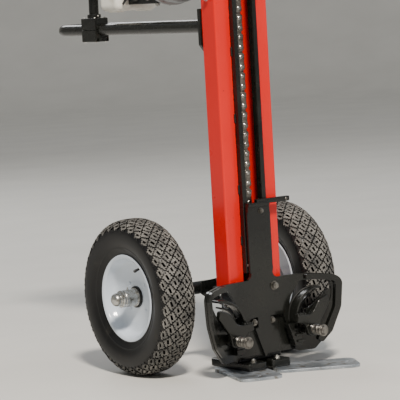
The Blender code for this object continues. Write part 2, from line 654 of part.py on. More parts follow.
def make_levers():
    shift = [(0.104, 1.086, 0.007), (0.118, 1.086, 0.007), (0.116, 1.150, 0.004),
             (0.122, 1.156, 0.006), (0.122, 1.174, 0.006), (0.102, 1.174, 0.006),
             (0.102, 1.156, 0.006), (0.107, 1.150, 0.004)]
    plate_yz("gear_selector", "gear_selector", "bright_steel", [rounded(shift)],
             -0.0975, 0.006)
    choke = [(0.345, 1.140, 0.005), (0.357, 1.140, 0.005), (0.356, 1.176, 0.005),
             (0.346, 1.176, 0.005)]
    plate_yz("choke_lever", "choke_lever", "black_plastic", [rounded(choke)],
             -0.1125, 0.004)


def make_throttle_cable():
    """From the control pod down along the post and forward to the air filter housing."""
    x = -LOOP_HALF
    route = [(x + 0.035, HANDLE_Y - 0.0204, GRIP_Z - 0.010),
             (x + 0.035, HANDLE_Y - 0.034, GRIP_Z - 0.010),
             (x + 0.026, HANDLE_Y - 0.052, GRIP_Z - 0.002), (x + 0.004, 0.545, 1.094),
             (x - 0.022, 0.505, 1.112), (x - 0.024, 0.465, 1.132), (x - 0.015, 0.434, 1.145),
             (x - 0.014, CRANKCASE_BACK + 0.006, 1.146), (x - 0.014, CRANKCASE_BACK - 0.0035,
             1.146)]
    points = smooth_route([Vector(p) for p in route], 4)
    tube("throttle_cable", "machine", "black_plastic", points, 0.0025, 2)


def smooth_route(route, parts_each):
    """A smooth curve through the route's points."""
    padded = [route[0] * 2 - route[1]] + route + [route[-1] * 2 - route[-2]]
    points = []
    for a, b, c, d in zip(padded, padded[1:], padded[2:], padded[3:]):
        for k in range(parts_each):
            t = k / parts_each
            points.append(0.5 * (2 * b + (c - a) * t + (2 * a - 5 * b + 4 * c - d) * t * t
                                 + (3 * b - a - 3 * c + d) * t ** 3))
    points.append(route[-1])
    return points


def make_pivots():
    pivot("machine", (0, 0, 0))
    pivot("carriage", (0, 0, 0), "machine")
    pivot("head_drive", (-PITCH_RADIUS, CHAIN_Y, HEAD_Z), "machine")
    pivot("foot_drive", (-PITCH_RADIUS, CHAIN_Y, IDLER_Z), "machine")
    for side, word in ((-1, "left"), (1, "right")):
        pivot("wheel_" + word, (side * WHEEL_X, AXLE_Y, AXLE_Z), "machine")
        pivot("jaw_" + word, (side * PIVOT_X, JAW_FRONT, PIVOT_Z), "carriage")
    pivot("throttle_lever", (-LOOP_HALF + 0.057, HANDLE_Y, GRIP_Z - 0.032), "machine")
    pivot("stop_button", (-LOOP_HALF + 0.035, HANDLE_Y, GRIP_Z + 0.0185), "machine")
    pivot("fuel_cap", (0, TANK_Y, TANK_TOP + 0.0004), "machine")
    pivot("gear_selector", (-0.0945, 0.111, 1.093), "machine")
    pivot("choke_lever", (-0.1105, 0.351, 1.146), "machine")
    pivots["machine"].location.y = MACHINE_Y


clear_scene()
parts = collection("splitting_rig")
tools = collection("cutters")
make_pivots()
make_mast()
make_base()
make_axle()
make_wheel(-1, "left")
make_wheel(1, "right")
make_chain()
make_carriage_plate()
make_wing_rims()
make_carriage_guides()
make_jaws()
make_rear_frame()
make_clamp_and_handle()
make_controls()
make_power_unit()
make_levers()
make_throttle_cable()
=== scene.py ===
import math

import bmesh
import bpy
from bpy.props import FloatProperty, FloatVectorProperty, IntProperty, PointerProperty
from mathutils import Matrix, Vector


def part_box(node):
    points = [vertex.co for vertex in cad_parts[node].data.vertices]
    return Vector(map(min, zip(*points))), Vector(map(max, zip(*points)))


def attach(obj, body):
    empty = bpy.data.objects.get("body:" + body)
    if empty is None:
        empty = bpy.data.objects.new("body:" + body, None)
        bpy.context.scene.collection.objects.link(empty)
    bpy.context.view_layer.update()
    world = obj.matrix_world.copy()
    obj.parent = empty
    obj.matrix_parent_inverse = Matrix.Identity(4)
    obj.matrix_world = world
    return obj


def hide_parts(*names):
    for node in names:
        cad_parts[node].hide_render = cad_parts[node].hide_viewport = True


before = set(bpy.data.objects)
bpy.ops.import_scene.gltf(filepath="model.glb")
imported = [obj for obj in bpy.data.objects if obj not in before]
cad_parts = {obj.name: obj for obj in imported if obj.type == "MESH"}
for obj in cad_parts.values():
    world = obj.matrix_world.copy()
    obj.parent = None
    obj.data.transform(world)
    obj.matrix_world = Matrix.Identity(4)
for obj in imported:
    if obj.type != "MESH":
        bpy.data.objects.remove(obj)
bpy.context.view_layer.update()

bl_info = {
    "name": "Splitting Rig Looks",
    "version": (1, 0, 0),
    "blender": (4, 5, 0),
    "location": "3D View > Sidebar > Splitting Rig",
    "description": "Builds the finished pieces of a walk-behind splitting rig round its CAD frame",
    "category": "Object",
}

ORIGIN = Vector((0.0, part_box("mast_channel")[0].y, 0.0))   # under the mast's front face


def spot(node):
    """Lowest and highest corner of a CAD node, measured from the mast's front face."""
    low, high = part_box(node)
    return low - ORIGIN, high - ORIGIN


def middle(node):
    low, high = spot(node)
    return (low + high) / 2


# Places and sizes that the CAD fixes, in metres from the mast's front face
MAST_LOW, MAST_HIGH = spot("mast_channel")
SLOT_EDGE = spot("guide_rail_right")[1].x + 0.0003
HEAD = middle("head_sprocket")
IDLER = middle("foot_idler")
LINKS_BETWEEN = 33
TEETH = 8
PITCH = (HEAD.z - IDLER.z) / LINKS_BETWEEN
PITCH_RADIUS = PITCH / 2 / math.sin(math.pi / TEETH)
CHAIN_LOW, CHAIN_HIGH = spot("drive_chain")
CHAIN_Y = (CHAIN_LOW.y + CHAIN_HIGH.y) / 2
PLATE_FRONT = spot("plate_bolt")[1].y + 0.0003
PLATE_THICK = 0.010
CARRIAGE_TOP = spot("carriage_plate")[1].z
WING_START = 0.085
WING_HALF = 0.2205
WING_REACH = 0.050
PIVOT = middle("pivot_bolt_right")
LOOP_Z = middle("rear_loop").z
LOOP_HALF = 0.066
TUBE = (spot("rear_loop")[1].z - spot("rear_loop")[0].z) / 2
WHEEL = middle("rim_right")
TYRE_RADIUS = (spot("tyre_right")[1].z - spot("tyre_right")[0].z) / 2
BAR = middle("handlebar")
CLUTCH = middle("clutch_housing")
SIDES = ((-1, "left"), (1, "right"))


# ---------------------------------------------------------------- finishes
def linear(code):
    """An sRGB hex colour as linear red, green, blue and alpha."""
    channels = [int(code[k:k + 2], 16) / 255 for k in (1, 3, 5)]
    return (*(c / 12.92 if c <= 0.04045 else ((c + 0.055) / 1.055) ** 2.4
              for c in channels), 1.0)


def add(tree, kind, settings=None, links=None):
    """Add a node, set its inputs or options by name, and link outputs into it."""
    made = tree.nodes.new("ShaderNode" + kind)
    for key, value in (settings or {}).items():
        if key == "stops":
            for k, (place, colour) in enumerate(value):
                stop = (made.color_ramp.elements[k] if k < 2
                        else made.color_ramp.elements.new(place))
                stop.position, stop.color = place, colour
        elif isinstance(key, int) or key in made.inputs:
            made.inputs[key].default_value = value
        else:
            setattr(made, key, value)
    for key, source in (links or {}).items():
        tree.links.new(source, made.inputs[key])
    return made


GREY = [(v, v, v, 1.0) for v in (0.0, 1.0)]


def blank(name, settings):
    """A new material: its tree, its shader with its own constants, and object coordinates."""
    made = bpy.data.materials.new(name)
    made.use_nodes = True
    tree = made.node_tree
    shader = tree.nodes["Principled BSDF"]
    for key, value in settings.items():
        shader.inputs[key].default_value = value
    return made, tree, shader, add(tree, "TexCoord").outputs["Object"]


def masked(tree, place, scale, low, high, detail=4.0):
    """A noise pattern pushed to black and white between two levels."""
    noise = add(tree, "TexNoise", {"Scale": scale, "Detail": detail}, {"Vector": place})
    return add(tree, "ValToRGB", {"stops": [(low, GREY[0]), (high, GREY[1])]},
               {"Fac": noise.outputs["Fac"]}).outputs["Color"]


def blend_colour(tree, mask, under, over):
    """Mix two colours or colour outputs by a mask."""
    settings, links = {"data_type": 'RGBA'}, {0: mask}
    for slot, value in ((6, under), (7, over)):
        (settings if isinstance(value, tuple) else links)[slot] = value
    return add(tree, "Mix", settings, links).outputs[2]


def relief(tree, shader, height, distance, strength=1.0, before=None):
    """Bump from a height output, on top of an earlier bump when one is given."""
    links = {"Height": height}
    if before:
        links["Normal"] = before
    bump = add(tree, "Bump", {"Strength": strength, "Distance": distance}, links)
    tree.links.new(bump.outputs["Normal"], shader.inputs["Normal"])
    return bump.outputs["Normal"]


def vary(tree, shader, mask, low, high):
    """Drive the roughness between two levels from a mask."""
    level = add(tree, "MapRange", {"To Min": low, "To Max": high}, {"Value": mask})
    tree.links.new(level.outputs["Result"], shader.inputs["Roughness"])


def tint(tree, shader, mask, under, over):
    """Mix two colours by a mask into the shader's base colour."""
    tree.links.new(blend_colour(tree, mask, under, over), shader.inputs["Base Color"])


def calculate(tree, operation, *sources):
    """One step of arithmetic on the outputs given."""
    return add(tree, "Math", {"operation": operation}, dict(enumerate(sources))).outputs[0]


def ranged(tree, source, start, end):
    """0 where a value is at its start, rising to 1 at its end."""
    return add(tree, "MapRange", {"From Min": start, "From Max": end},
               {"Value": source}).outputs["Result"]


def texture(tree, place, kind, scale, detail=None):
    """The first output of a noise or cell texture."""
    values = {"Scale": scale} if detail is None else {"Scale": scale, "Detail": detail}
    return add(tree, kind, values, {"Vector": place}).outputs[0]


def enamel(name, colour, faded, chip, roughness, coat, chip_level):
    """Sprayed gloss enamel on steel: faint orange peel, slow fading, dust and small chips."""
    made, tree, shader, place = blank(name, {
        "IOR": 1.5, "Coat Weight": coat, "Coat Roughness": 0.08, "Specular IOR Level": 0.32})
    fade = masked(tree, place, 6.0, 0.35, 0.70)            # patches about 150 mm across
    paint = blend_colour(tree, fade, linear(colour), linear(faded))
    chips = masked(tree, place, 260.0, chip_level, chip_level + 0.02, 3.0)   # 2 to 4 mm
    tint(tree, shader, chips, paint, linear(chip))
    smear = masked(tree, place, 24.0, 0.30, 0.75, 6.0)
    vary(tree, shader, smear, roughness, roughness + 0.13)
    first = relief(tree, shader, texture(tree, place, "TexNoise", 420.0, 2.0), 0.0002, 0.18)
    relief(tree, shader, chips, -0.0002, 0.6, first)
    return made


def mast_enamel():
    """Red gloss enamel, rubbed through to dark primer along the slot's cut edges."""
    look = bpy.context.scene.rig_colours
    made, tree, shader, place = blank("red_gloss_enamel", {
        "IOR": 1.5, "Coat Weight": 0.20, "Coat Roughness": 0.10, "Specular IOR Level": 0.35})
    fade = masked(tree, place, 3.0, 0.30, 0.72)
    paint = blend_colour(tree, fade, tuple(look.mast_red), tuple(look.mast_red_faded))
    axes = add(tree, "SeparateXYZ", None, {0: place})
    side = calculate(tree, 'ABSOLUTE', axes.outputs["X"])
    edge = ranged(tree, side, SLOT_EDGE + 0.0045, SLOT_EDGE)
    front = ranged(tree, axes.outputs["Y"], ORIGIN.y + 0.012, ORIGIN.y + 0.007)
    near = calculate(tree, 'MULTIPLY', edge, front)
    both = calculate(tree, 'MULTIPLY', near, texture(tree, place, "TexNoise", 95.0, 5.0))
    rubbed = add(tree, "ValToRGB", {"stops": [(0.42, GREY[0]), (0.46, GREY[1])]},
                 {"Fac": both}).outputs["Color"]
    stray = masked(tree, place, 150.0, 0.745, 0.755, 3.0)      # single chips, 3 to 5 mm
    chips = calculate(tree, 'MAXIMUM', rubbed, stray)
    tint(tree, shader, chips, paint, linear("#4A332E"))
    vary(tree, shader, masked(tree, place, 18.0, 0.30, 0.75, 6.0), 0.26, 0.42)
    first = relief(tree, shader, texture(tree, place, "TexNoise", 380.0, 2.0), 0.0002, 0.15)
    relief(tree, shader, chips, -0.0003, 0.7, first)
    return made


def spotted(name, settings, patches, colours, rough, skin, depth, strength):
    """A finish of one colour with patches of a second, and a fine skin of bumps."""
    made, tree, shader, place = blank(name, settings)
    mask = masked(tree, place, *patches)
    tint(tree, shader, mask, linear(colours[0]), linear(colours[1]))
    vary(tree, shader, mask, *rough)
    relief(tree, shader, texture(tree, place, *skin), depth, strength)
    return made


def plated_steel(name, colour, dull, low, high, grain):
    """Turned or pressed steel with zinc plating: fine tool marks, and dull greasy spots."""
    return spotted(name, {"Metallic": 1.0}, (90.0, 0.45, 0.72, 6.0), (colour, dull), (low, high),
                   ("TexNoise", grain, 3.0), 0.0001, 0.25)


def rolled_steel():
    """Hot-rolled plate: blue-grey mill scale, lighter where the ground has scoured it."""
    made, tree, shader, place = blank("rolled_plate_steel", {"Metallic": 0.75})
    scale = masked(tree, place, 14.0, 0.35, 0.65, 8.0)
    base = blend_colour(tree, scale, linear("#8C949C"), linear("#B4BAC0"))
    stretch = add(tree, "Mapping", {"Scale": (1.0, 0.05, 1.0), "Rotation": (0, 0, 0.5)},
                  {"Vector": place}).outputs["Vector"]
    scratch = masked(tree, stretch, 420.0, 0.62, 0.68, 2.0)      # scratches 2 mm apart
    dirt = masked(tree, place, 55.0, 0.56, 0.70, 6.0)
    marked = blend_colour(tree, scratch, base, linear("#D8DCE0"))
    tint(tree, shader, dirt, marked, linear("#6E665A"))
    vary(tree, shader, scale, 0.38, 0.58)
    relief(tree, shader, scratch, -0.0001, 0.4,
           relief(tree, shader, scale, 0.0002, 0.3))
    return made


def rubber(name, colour, dust, dust_low, dust_high, roughness, grain=300.0):
    """Moulded rubber with pale dry dust lying in patches."""
    return spotted(name, {"IOR": 1.52, "Specular IOR Level": 0.35},
                   (32.0, dust_low, dust_high, 8.0), (colour, dust),
                   (roughness, min(0.95, roughness + 0.3)), ("TexNoise", grain, 5.0), 0.0003, 0.35)


def plastic(name, colour, stain, roughness, grain, depth, through=0.0):
    """Moulded plastic with a spark-eroded grain and a little grime."""
    return spotted(name, {"IOR": 1.46, "Subsurface Weight": through,
                          "Subsurface Radius": (0.01, 0.01, 0.01)},
                   (30.0, 0.52, 0.80, 6.0), (colour, stain), (roughness, roughness + 0.15),
                   ("TexVoronoi", grain), depth, 0.3)


def cast_metal():
    """Sand-blasted die-cast aluminium: fine pits, dull grey, oily in the hollows."""
    return spotted("cast_aluminium", {"Metallic": 1.0}, (22.0, 0.48, 0.75, 6.0),
                   ("#A9ABAD", "#6F6E6B"), (0.52, 0.36), ("TexNoise", 700.0, 4.0), 0.0002, 0.5)


FINISH = {}


def mix_finishes():
    """Make every finish once; the mast's reds come from the sidebar."""
    FINISH.update({
        "red": mast_enamel(),
        "black": enamel("black_gloss_enamel", "#0F100F", "#1B1C19", "#3F3B36", 0.20, 0.18, 0.775),
        "weld": enamel("enamelled_weld_bead", "#101110", "#1C1C1A", "#3F3B36", 0.34, 0.15, 0.80),
        "zinc": plated_steel("zinc_plated_steel", "#C9C8C4", "#6A6862", 0.24, 0.50, 500.0),
        "bolt": plated_steel("dull_bolt_steel", "#85827D", "#3A3733", 0.30, 0.55, 500.0),
        "chain": plated_steel("oiled_chain_steel", "#98928A", "#4C4741", 0.32, 0.52, 600.0),
        "pin": plated_steel("ground_pin_steel", "#C2BEB8", "#5C5853", 0.22, 0.42, 700.0),
        "plate": rolled_steel(),
        "rim": enamel("pale_rim_enamel", "#DCE5F0", "#CBD6E4", "#A7A49C", 0.10, 0.6, 0.80),
        "rubber": rubber("tyre_sidewall_rubber", "#0E0E0F", "#35322E", 0.58, 0.86, 0.40),
        # tread block tops: a pale grey that is partly dust and partly painted light on the faces
        # that catch the lamp
        "tread": rubber("dust_and_painted_light_tread_rubber", "#454544", "#7F7D79", 0.30, 0.66, 0.72, 420.0),
        "grip": rubber("grip_rubber", "#1C1C1D", "#3A3835", 0.60, 0.85, 0.62, 500.0),
        "tank": plastic("blow_moulded_polythene", "#E9E7DF", "#CFCBBE", 0.32, 900.0, 0.0001, 0.15),
        "abs": plastic("grained_black_nylon", "#232325", "#3B3935", 0.44, 1100.0, 0.0002),
        "stop": plastic("red_button_plastic", "#C3221C", "#98201A", 0.35, 1100.0, 0.0001),
        "cable": plastic("cable_jacket", "#202022", "#35342F", 0.45, 900.0, 0.0001),
        "cast": cast_metal(),
    })


# ---------------------------------------------------------------- shapes
def turn_to(axis):
    """A rotation that takes +Z to an axis."""
    return Vector(axis).to_track_quat('Z', 'Y').to_matrix().to_4x4()


def as_mesh(name, shape):
    """A mesh made from a shape, which is used up."""
    mesh = bpy.data.meshes.new(name)
    shape.to_mesh(mesh)
    shape.free()
    return mesh


def show(name, data):
    """Put a mesh, curve, lamp or camera into the scene."""
    made = bpy.data.objects.new(name, data)
    bpy.context.scene.collection.objects.link(made)
    return made


def as_shape(holder):
    """A shape from an object as its modifiers leave it."""
    graph = bpy.context.evaluated_depsgraph_get()
    graph.update()
    mesh = bpy.data.meshes.new_from_object(holder.evaluated_get(graph))
    shape = bmesh.new()
    shape.from_mesh(mesh)
    bpy.data.meshes.remove(mesh)
    return shape


def placed(shape, at, axis):
    """Turn a shape's +Z to an axis and move it to a place."""
    bmesh.ops.transform(shape, matrix=Matrix.Translation(at) @ turn_to(axis), verts=shape.verts)
    return shape


def spun(shape, at, degrees):
    """Turn a shape about Y, then move it to a place."""
    bmesh.ops.transform(shape, verts=shape.verts, matrix=Matrix.Translation(at)
                        @ Matrix.Rotation(math.radians(degrees), 4, 'Y'))
    return shape


def round_places(count, radius, start=0.0):
    """Evenly spaced points round a circle, from a start in degrees."""
    angles = [math.radians(start + 360 / count * k) for k in range(count)]
    return [(radius * math.cos(a), radius * math.sin(a)) for a in angles]


def rectangle(low, high, front, back=None, grow=0.0):
    """Corners of a level rectangle, with its radius in front and at the back."""
    back = front if back is None else back
    x0, y0, x1, y1 = low.x - grow, low.y - grow, high.x + grow, high.y + grow
    return [(x0, y0, front), (x0, y1, back), (x1, y1, back), (x1, y0, front)]


def soften(shape, width, segments=2, limit=30.0):
    """Round the edges that turn by more than a limit."""
    edges = [e for e in shape.edges
             if len(e.link_faces) == 2 and e.calc_face_angle(0.0) > math.radians(limit)]
    bmesh.ops.bevel(shape, geom=edges, offset=width, offset_type='OFFSET', affect='EDGES',
                    segments=segments, profile=0.5, material=-1, clamp_overlap=True)
    return shape


def block(low, high, soft=0.0, segments=2):
    """A box between two corners, with rounded edges."""
    low, high = Vector(low), Vector(high)
    shape = bmesh.new()
    bmesh.ops.create_cube(shape, size=1.0)
    bmesh.ops.scale(shape, verts=shape.verts, vec=high - low)
    bmesh.ops.translate(shape, verts=shape.verts, vec=(low + high) / 2)
    return soften(shape, soft, segments) if soft else shape


def bar(start, end, radius, sides=24, soft=0.0, tip=None):
    """A round bar, tapered when a tip radius is given."""
    start, end = Vector(start), Vector(end)
    shape = bmesh.new()
    bmesh.ops.create_cone(shape, cap_ends=True, segments=sides, radius1=radius,
                          radius2=radius if tip is None else tip, depth=(end - start).length)
    if soft:
        soften(shape, soft, 2, 50.0)
    return placed(shape, (start + end) / 2, end - start)


def turned(profile, axis, at, steps=48, closed=True):
    """A shape turned about an axis from (radius, along) points."""
    shape = bmesh.new()
    corners = [shape.verts.new((radius, 0.0, along)) for radius, along in profile]
    edges = [shape.edges.new(pair) for pair in zip(corners, corners[1:])]
    if closed and (profile[0][0] > 0.0 or profile[-1][0] > 0.0):
        edges.append(shape.edges.new((corners[-1], corners[0])))
    bmesh.ops.spin(shape, geom=corners + edges, axis=(0, 0, 1), cent=(0, 0, 0), steps=steps,
                   angle=2 * math.pi, use_merge=True)
    bmesh.ops.remove_doubles(shape, verts=shape.verts, dist=0.00001)
    bmesh.ops.dissolve_degenerate(shape, edges=shape.edges, dist=0.00001)
    bmesh.ops.recalc_face_normals(shape, faces=shape.faces)
    return placed(shape, at, axis)


def arcs(corners, step=12.0):
    """Points of a closed outline from (x, y, radius) corners, with arcs at the corners."""
    points = []
    for k, (x, y, radius) in enumerate(corners):
        here = Vector((x, y))
        if radius <= 0.0:
            points.append(here)
            continue
        before = (Vector(corners[k - 1][:2]) - here).normalized()
        after = (Vector(corners[(k + 1) % len(corners)][:2]) - here).normalized()
        angle = before.angle(after)
        reach = radius / math.tan(angle / 2)
        centre = here + (before + after).normalized() * (radius / math.sin(angle / 2))
        arm = here + before * reach - centre
        turn = arm.angle_signed(here + after * reach - centre)
        steps = max(2, math.ceil(abs(math.degrees(turn)) / step))
        points += [centre + Matrix.Rotation(-turn * n / steps, 2) @ arm
                   for n in range(steps + 1)]
    return points


def circle(x, y, radius, sides=24):
    return [Vector((x + radius * math.cos(2 * math.pi * k / sides),
                    y + radius * math.sin(2 * math.pi * k / sides))) for k in range(sides)]


FACING = {   # planes that an outline can lie in, and the axis that its thickness runs along
    'XY': Matrix.Identity(4),
    'XZ': Matrix.Rotation(math.radians(90), 4, 'X') @ Matrix.Scale(-1, 4, (0, 0, 1)),
    'YZ': Matrix(((0, 0, 1, 0), (1, 0, 0, 0), (0, 1, 0, 0), (0, 0, 0, 1))),
}


def slab(outlines, plane, near, thick, soft=0.0, segments=2, shaping=None):
    """A plate from closed outlines, the first outside and the others holes."""
    shape = bmesh.new()
    for points in outlines:
        corners = [shape.verts.new((p[0], p[1], 0.0)) for p in points]
        for k, corner in enumerate(corners):
            shape.edges.new((corners[k - 1], corner))
    bmesh.ops.triangle_fill(shape, edges=shape.edges[:], use_beauty=True, use_dissolve=True)
    made = bmesh.ops.extrude_face_region(shape, geom=shape.faces[:], use_keep_orig=True)
    bmesh.ops.translate(shape, vec=(0, 0, thick),
                        verts=[v for v in made["geom"] if isinstance(v, bmesh.types.BMVert)])
    bmesh.ops.translate(shape, vec=(0, 0, near), verts=shape.verts)
    bmesh.ops.transform(shape, matrix=FACING[plane], verts=shape.verts)
    bmesh.ops.recalc_face_normals(shape, faces=shape.faces)
    if shaping:
        shaping(shape)
    return soften(shape, soft, segments, 40.0) if soft else shape


def sweep(points, radius, sides=12, closed=False, swell=None):
    """A round tube along points; swell gives each point's share of the radius."""
    curve = bpy.data.curves.new("sweep", 'CURVE')
    curve.dimensions = '3D'
    curve.bevel_depth = radius
    curve.bevel_resolution = max(1, sides // 4)
    curve.use_fill_caps = not closed
    spline = curve.splines.new('POLY')
    spline.points.add(len(points) - 1)
    for k, point in enumerate(points):
        spline.points[k].co = (*point, 1.0)
        spline.points[k].radius = swell(k) if swell else 1.0
    spline.use_cyclic_u = closed
    holder = show("sweep", curve)
    shape = as_shape(holder)
    bpy.data.objects.remove(holder, do_unlink=True)
    bpy.data.curves.remove(curve)
    bmesh.ops.remove_doubles(shape, verts=shape.verts, dist=0.00001)
    bmesh.ops.recalc_face_normals(shape, faces=shape.faces)
    return shape


def carve(shape, *cutters):
    """Cut other shapes out of a shape."""
    holders = [show("carved", as_mesh("carved", part)) for part in (shape, *cutters)]
    for cutter in holders[1:]:
        change = holders[0].modifiers.new("cut", 'BOOLEAN')
        change.operation, change.solver, change.object = 'DIFFERENCE', 'EXACT', cutter
    made = as_shape(holders[0])
    for holder in holders:
        mesh = holder.data
        bpy.data.objects.remove(holder, do_unlink=True)
        bpy.data.meshes.remove(mesh)
    return made


def smooth_route(route, steps):
    """Points of a smooth curve through the route's points."""
    route = [Vector(p) for p in route]
    padded = [route[0] * 2 - route[1]] + route + [route[-1] * 2 - route[-2]]
    points = []
    for a, b, c, d in zip(padded, padded[1:], padded[2:], padded[3:]):
        for t in (k / steps for k in range(steps)):
            points.append(0.5 * (2 * b + (c - a) * t + (2 * a - 5 * b + 4 * c - d) * t * t
                                 + (3 * b - a - 3 * c + d) * t ** 3))
    return points + [route[-1]]


def hexagon(at, axis, across, height):
    """A hexagon head with chamfered corners, standing on a surface at `at`."""
    shape = bar((0, 0, 0), (0, 0, height), across / math.sqrt(3), 6)
    return placed(soften(shape, across * 0.06, 2, 40.0), at, axis)


def join(target, part, finish=0):
    """Add one shape to another, with the material at that index."""
    for face in part.faces:
        face.material_index = finish
    mesh = as_mesh("part", part)
    target.from_mesh(mesh)
    bpy.data.meshes.remove(mesh)
    return target


def bolt(target, at, axis, across=0.013, height=0.006, finish=0):
    """A hexagon head on a washer, with its thread end standing out."""
    at, axis = Vector(at), Vector(axis).normalized()
    join(target, bar(at, at + axis * 0.0015, across * 0.72, 24, 0.0004), finish)
    join(target, hexagon(at + axis * 0.0015, axis, across, height), finish)
    join(target, bar(at + axis * height, at + axis * (height + 0.0035), across * 0.26, 12,
                     0.0008), finish)


def screw(target, at, axis, radius=0.0035, finish=0):
    """A dome-headed socket screw."""
    profile = [(0, 0), (radius, 0), (radius, 0.0010), (radius * 0.86, 0.0022),
               (radius * 0.5, 0.0028), (radius * 0.45, 0.0014), (0, 0.0014)]
    join(target, turned(profile, axis, at, 16), finish)


RIPPLE = 0.45       # distance between a weld bead's ripples, as a share of its width


def weld(target, points, width, finish=0):
    """A rippled weld bead along points."""
    route = [Vector(p) for p in points]
    if len(route) == 2:
        start, end = route
        count = max(4, int((end - start).length / (width * RIPPLE)))
        route = [start.lerp(end, k / count) for k in range(count + 1)]
    join(target, sweep(route, width / 2, 8,
                       swell=lambda k: 0.55 if k in (0, len(route) - 1)
                       else 0.86 + 0.14 * (k % 2) + 0.05 * math.sin(k * 1.7)), finish)


def piece(name, shape, body, finishes, stands_for=(), angle=32.0):
    """Turn a shape into a finished piece that rides on a CAD body."""
    bmesh.ops.translate(shape, verts=shape.verts, vec=ORIGIN)
    mesh = as_mesh(name, shape)
    for finish in finishes:
        mesh.materials.append(FINISH[finish])
    mesh.shade_smooth()
    mesh.set_sharp_from_angle(angle=math.radians(angle))
    made = show(name, mesh)
    even = made.modifiers.new("even_faces", 'WEIGHTED_NORMAL')
    even.keep_sharp = True
    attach(made, body)
    if stands_for:
        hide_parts(*stands_for)
    return made


# ---------------------------------------------------------------- settings
class RigColours(bpy.types.PropertyGroup):
    """Main colours of the rig"""
    mast_red: FloatVectorProperty(
        name="Mast red", description="Enamel on the mast", subtype='COLOR', size=4,
        min=0.0, max=1.0, default=linear("#CE100A"))
    mast_red_faded: FloatVectorProperty(
        name="Faded red", description="Enamel where the sun has dulled it", subtype='COLOR',
        size=4, min=0.0, max=1.0, default=linear("#D91A12"))
    backdrop: FloatVectorProperty(
        name="Backdrop", description="Floor and studio wall", subtype='COLOR', size=4,
        min=0.0, max=1.0, default=linear("#DEDDD8"))


class RigSizes(bpy.types.PropertyGroup):
    """Sizes of the finished detail"""
    tread_depth: FloatProperty(
        name="Tread depth", description="Height of the tread blocks", default=0.0045,
        min=0.001, max=0.008, unit='LENGTH')
    blocks_round: IntProperty(
        name="Blocks round", description="Tread blocks in one ring", default=36, min=20, max=60)
    link_plate: FloatProperty(
        name="Link plate", description="Thickness of a chain link plate", default=0.0032,
        min=0.002, max=0.004, unit='LENGTH')
    bead: FloatProperty(
        name="Weld bead", description="Width of the weld beads", default=0.0065,
        min=0.003, max=0.010, unit='LENGTH')
    fins: IntProperty(
        name="Cooling fins", description="Fins on the cylinder", default=9, min=5, max=14)
    lens: FloatProperty(
        name="Lens", description="Focal length of the camera, in millimetres",
        default=203.86, min=50.0, max=400.0)


# ---------------------------------------------------------------- wheels
TREAD_LINE = [(0.208, 0.0), (0.2076, 0.0140), (0.2050, 0.0295), (0.1990, 0.0410),
              (0.1890, 0.0492), (0.1780, 0.0526), (0.1640, 0.0531), (0.1490, 0.0510),
              (0.1340, 0.0450), (0.1210, 0.0385), (0.1130, 0.0362), (0.1078, 0.0330)]


TREAD_END, TREAD_FADE = 0.066, 0.008           # along the section, from the crown
RIDGES = ((0.1330, 0.0016), (0.1165, 0.0012))  # rings on the sidewall: radius and half width
RIDGE = 0.0011
OUTER_ROW = 0.05                               # rows of tread blocks past this are shoulder rows
ROUND = 72                                     # faces round the tyres and other large turnings


def tread_curve():
    """Half of the tyre's section from the crown to the bead, as smooth (radius, across) points."""
    return [(p.x, p.y) for p in smooth_route([(r, a, 0) for r, a in TREAD_LINE], 5)]


def on_section(line, length):
    """Radius, distance across and outward slope at a length along the section."""
    for (r0, a0), (r1, a1) in zip(line, line[1:]):
        run = math.hypot(r1 - r0, a1 - a0)
        if length <= run or (r1, a1) == line[-1]:
            t = length / run
            return r0 + (r1 - r0) * t, a0 + (a1 - a0) * t, (a1 - a0) / run, (r0 - r1) / run
        length -= run


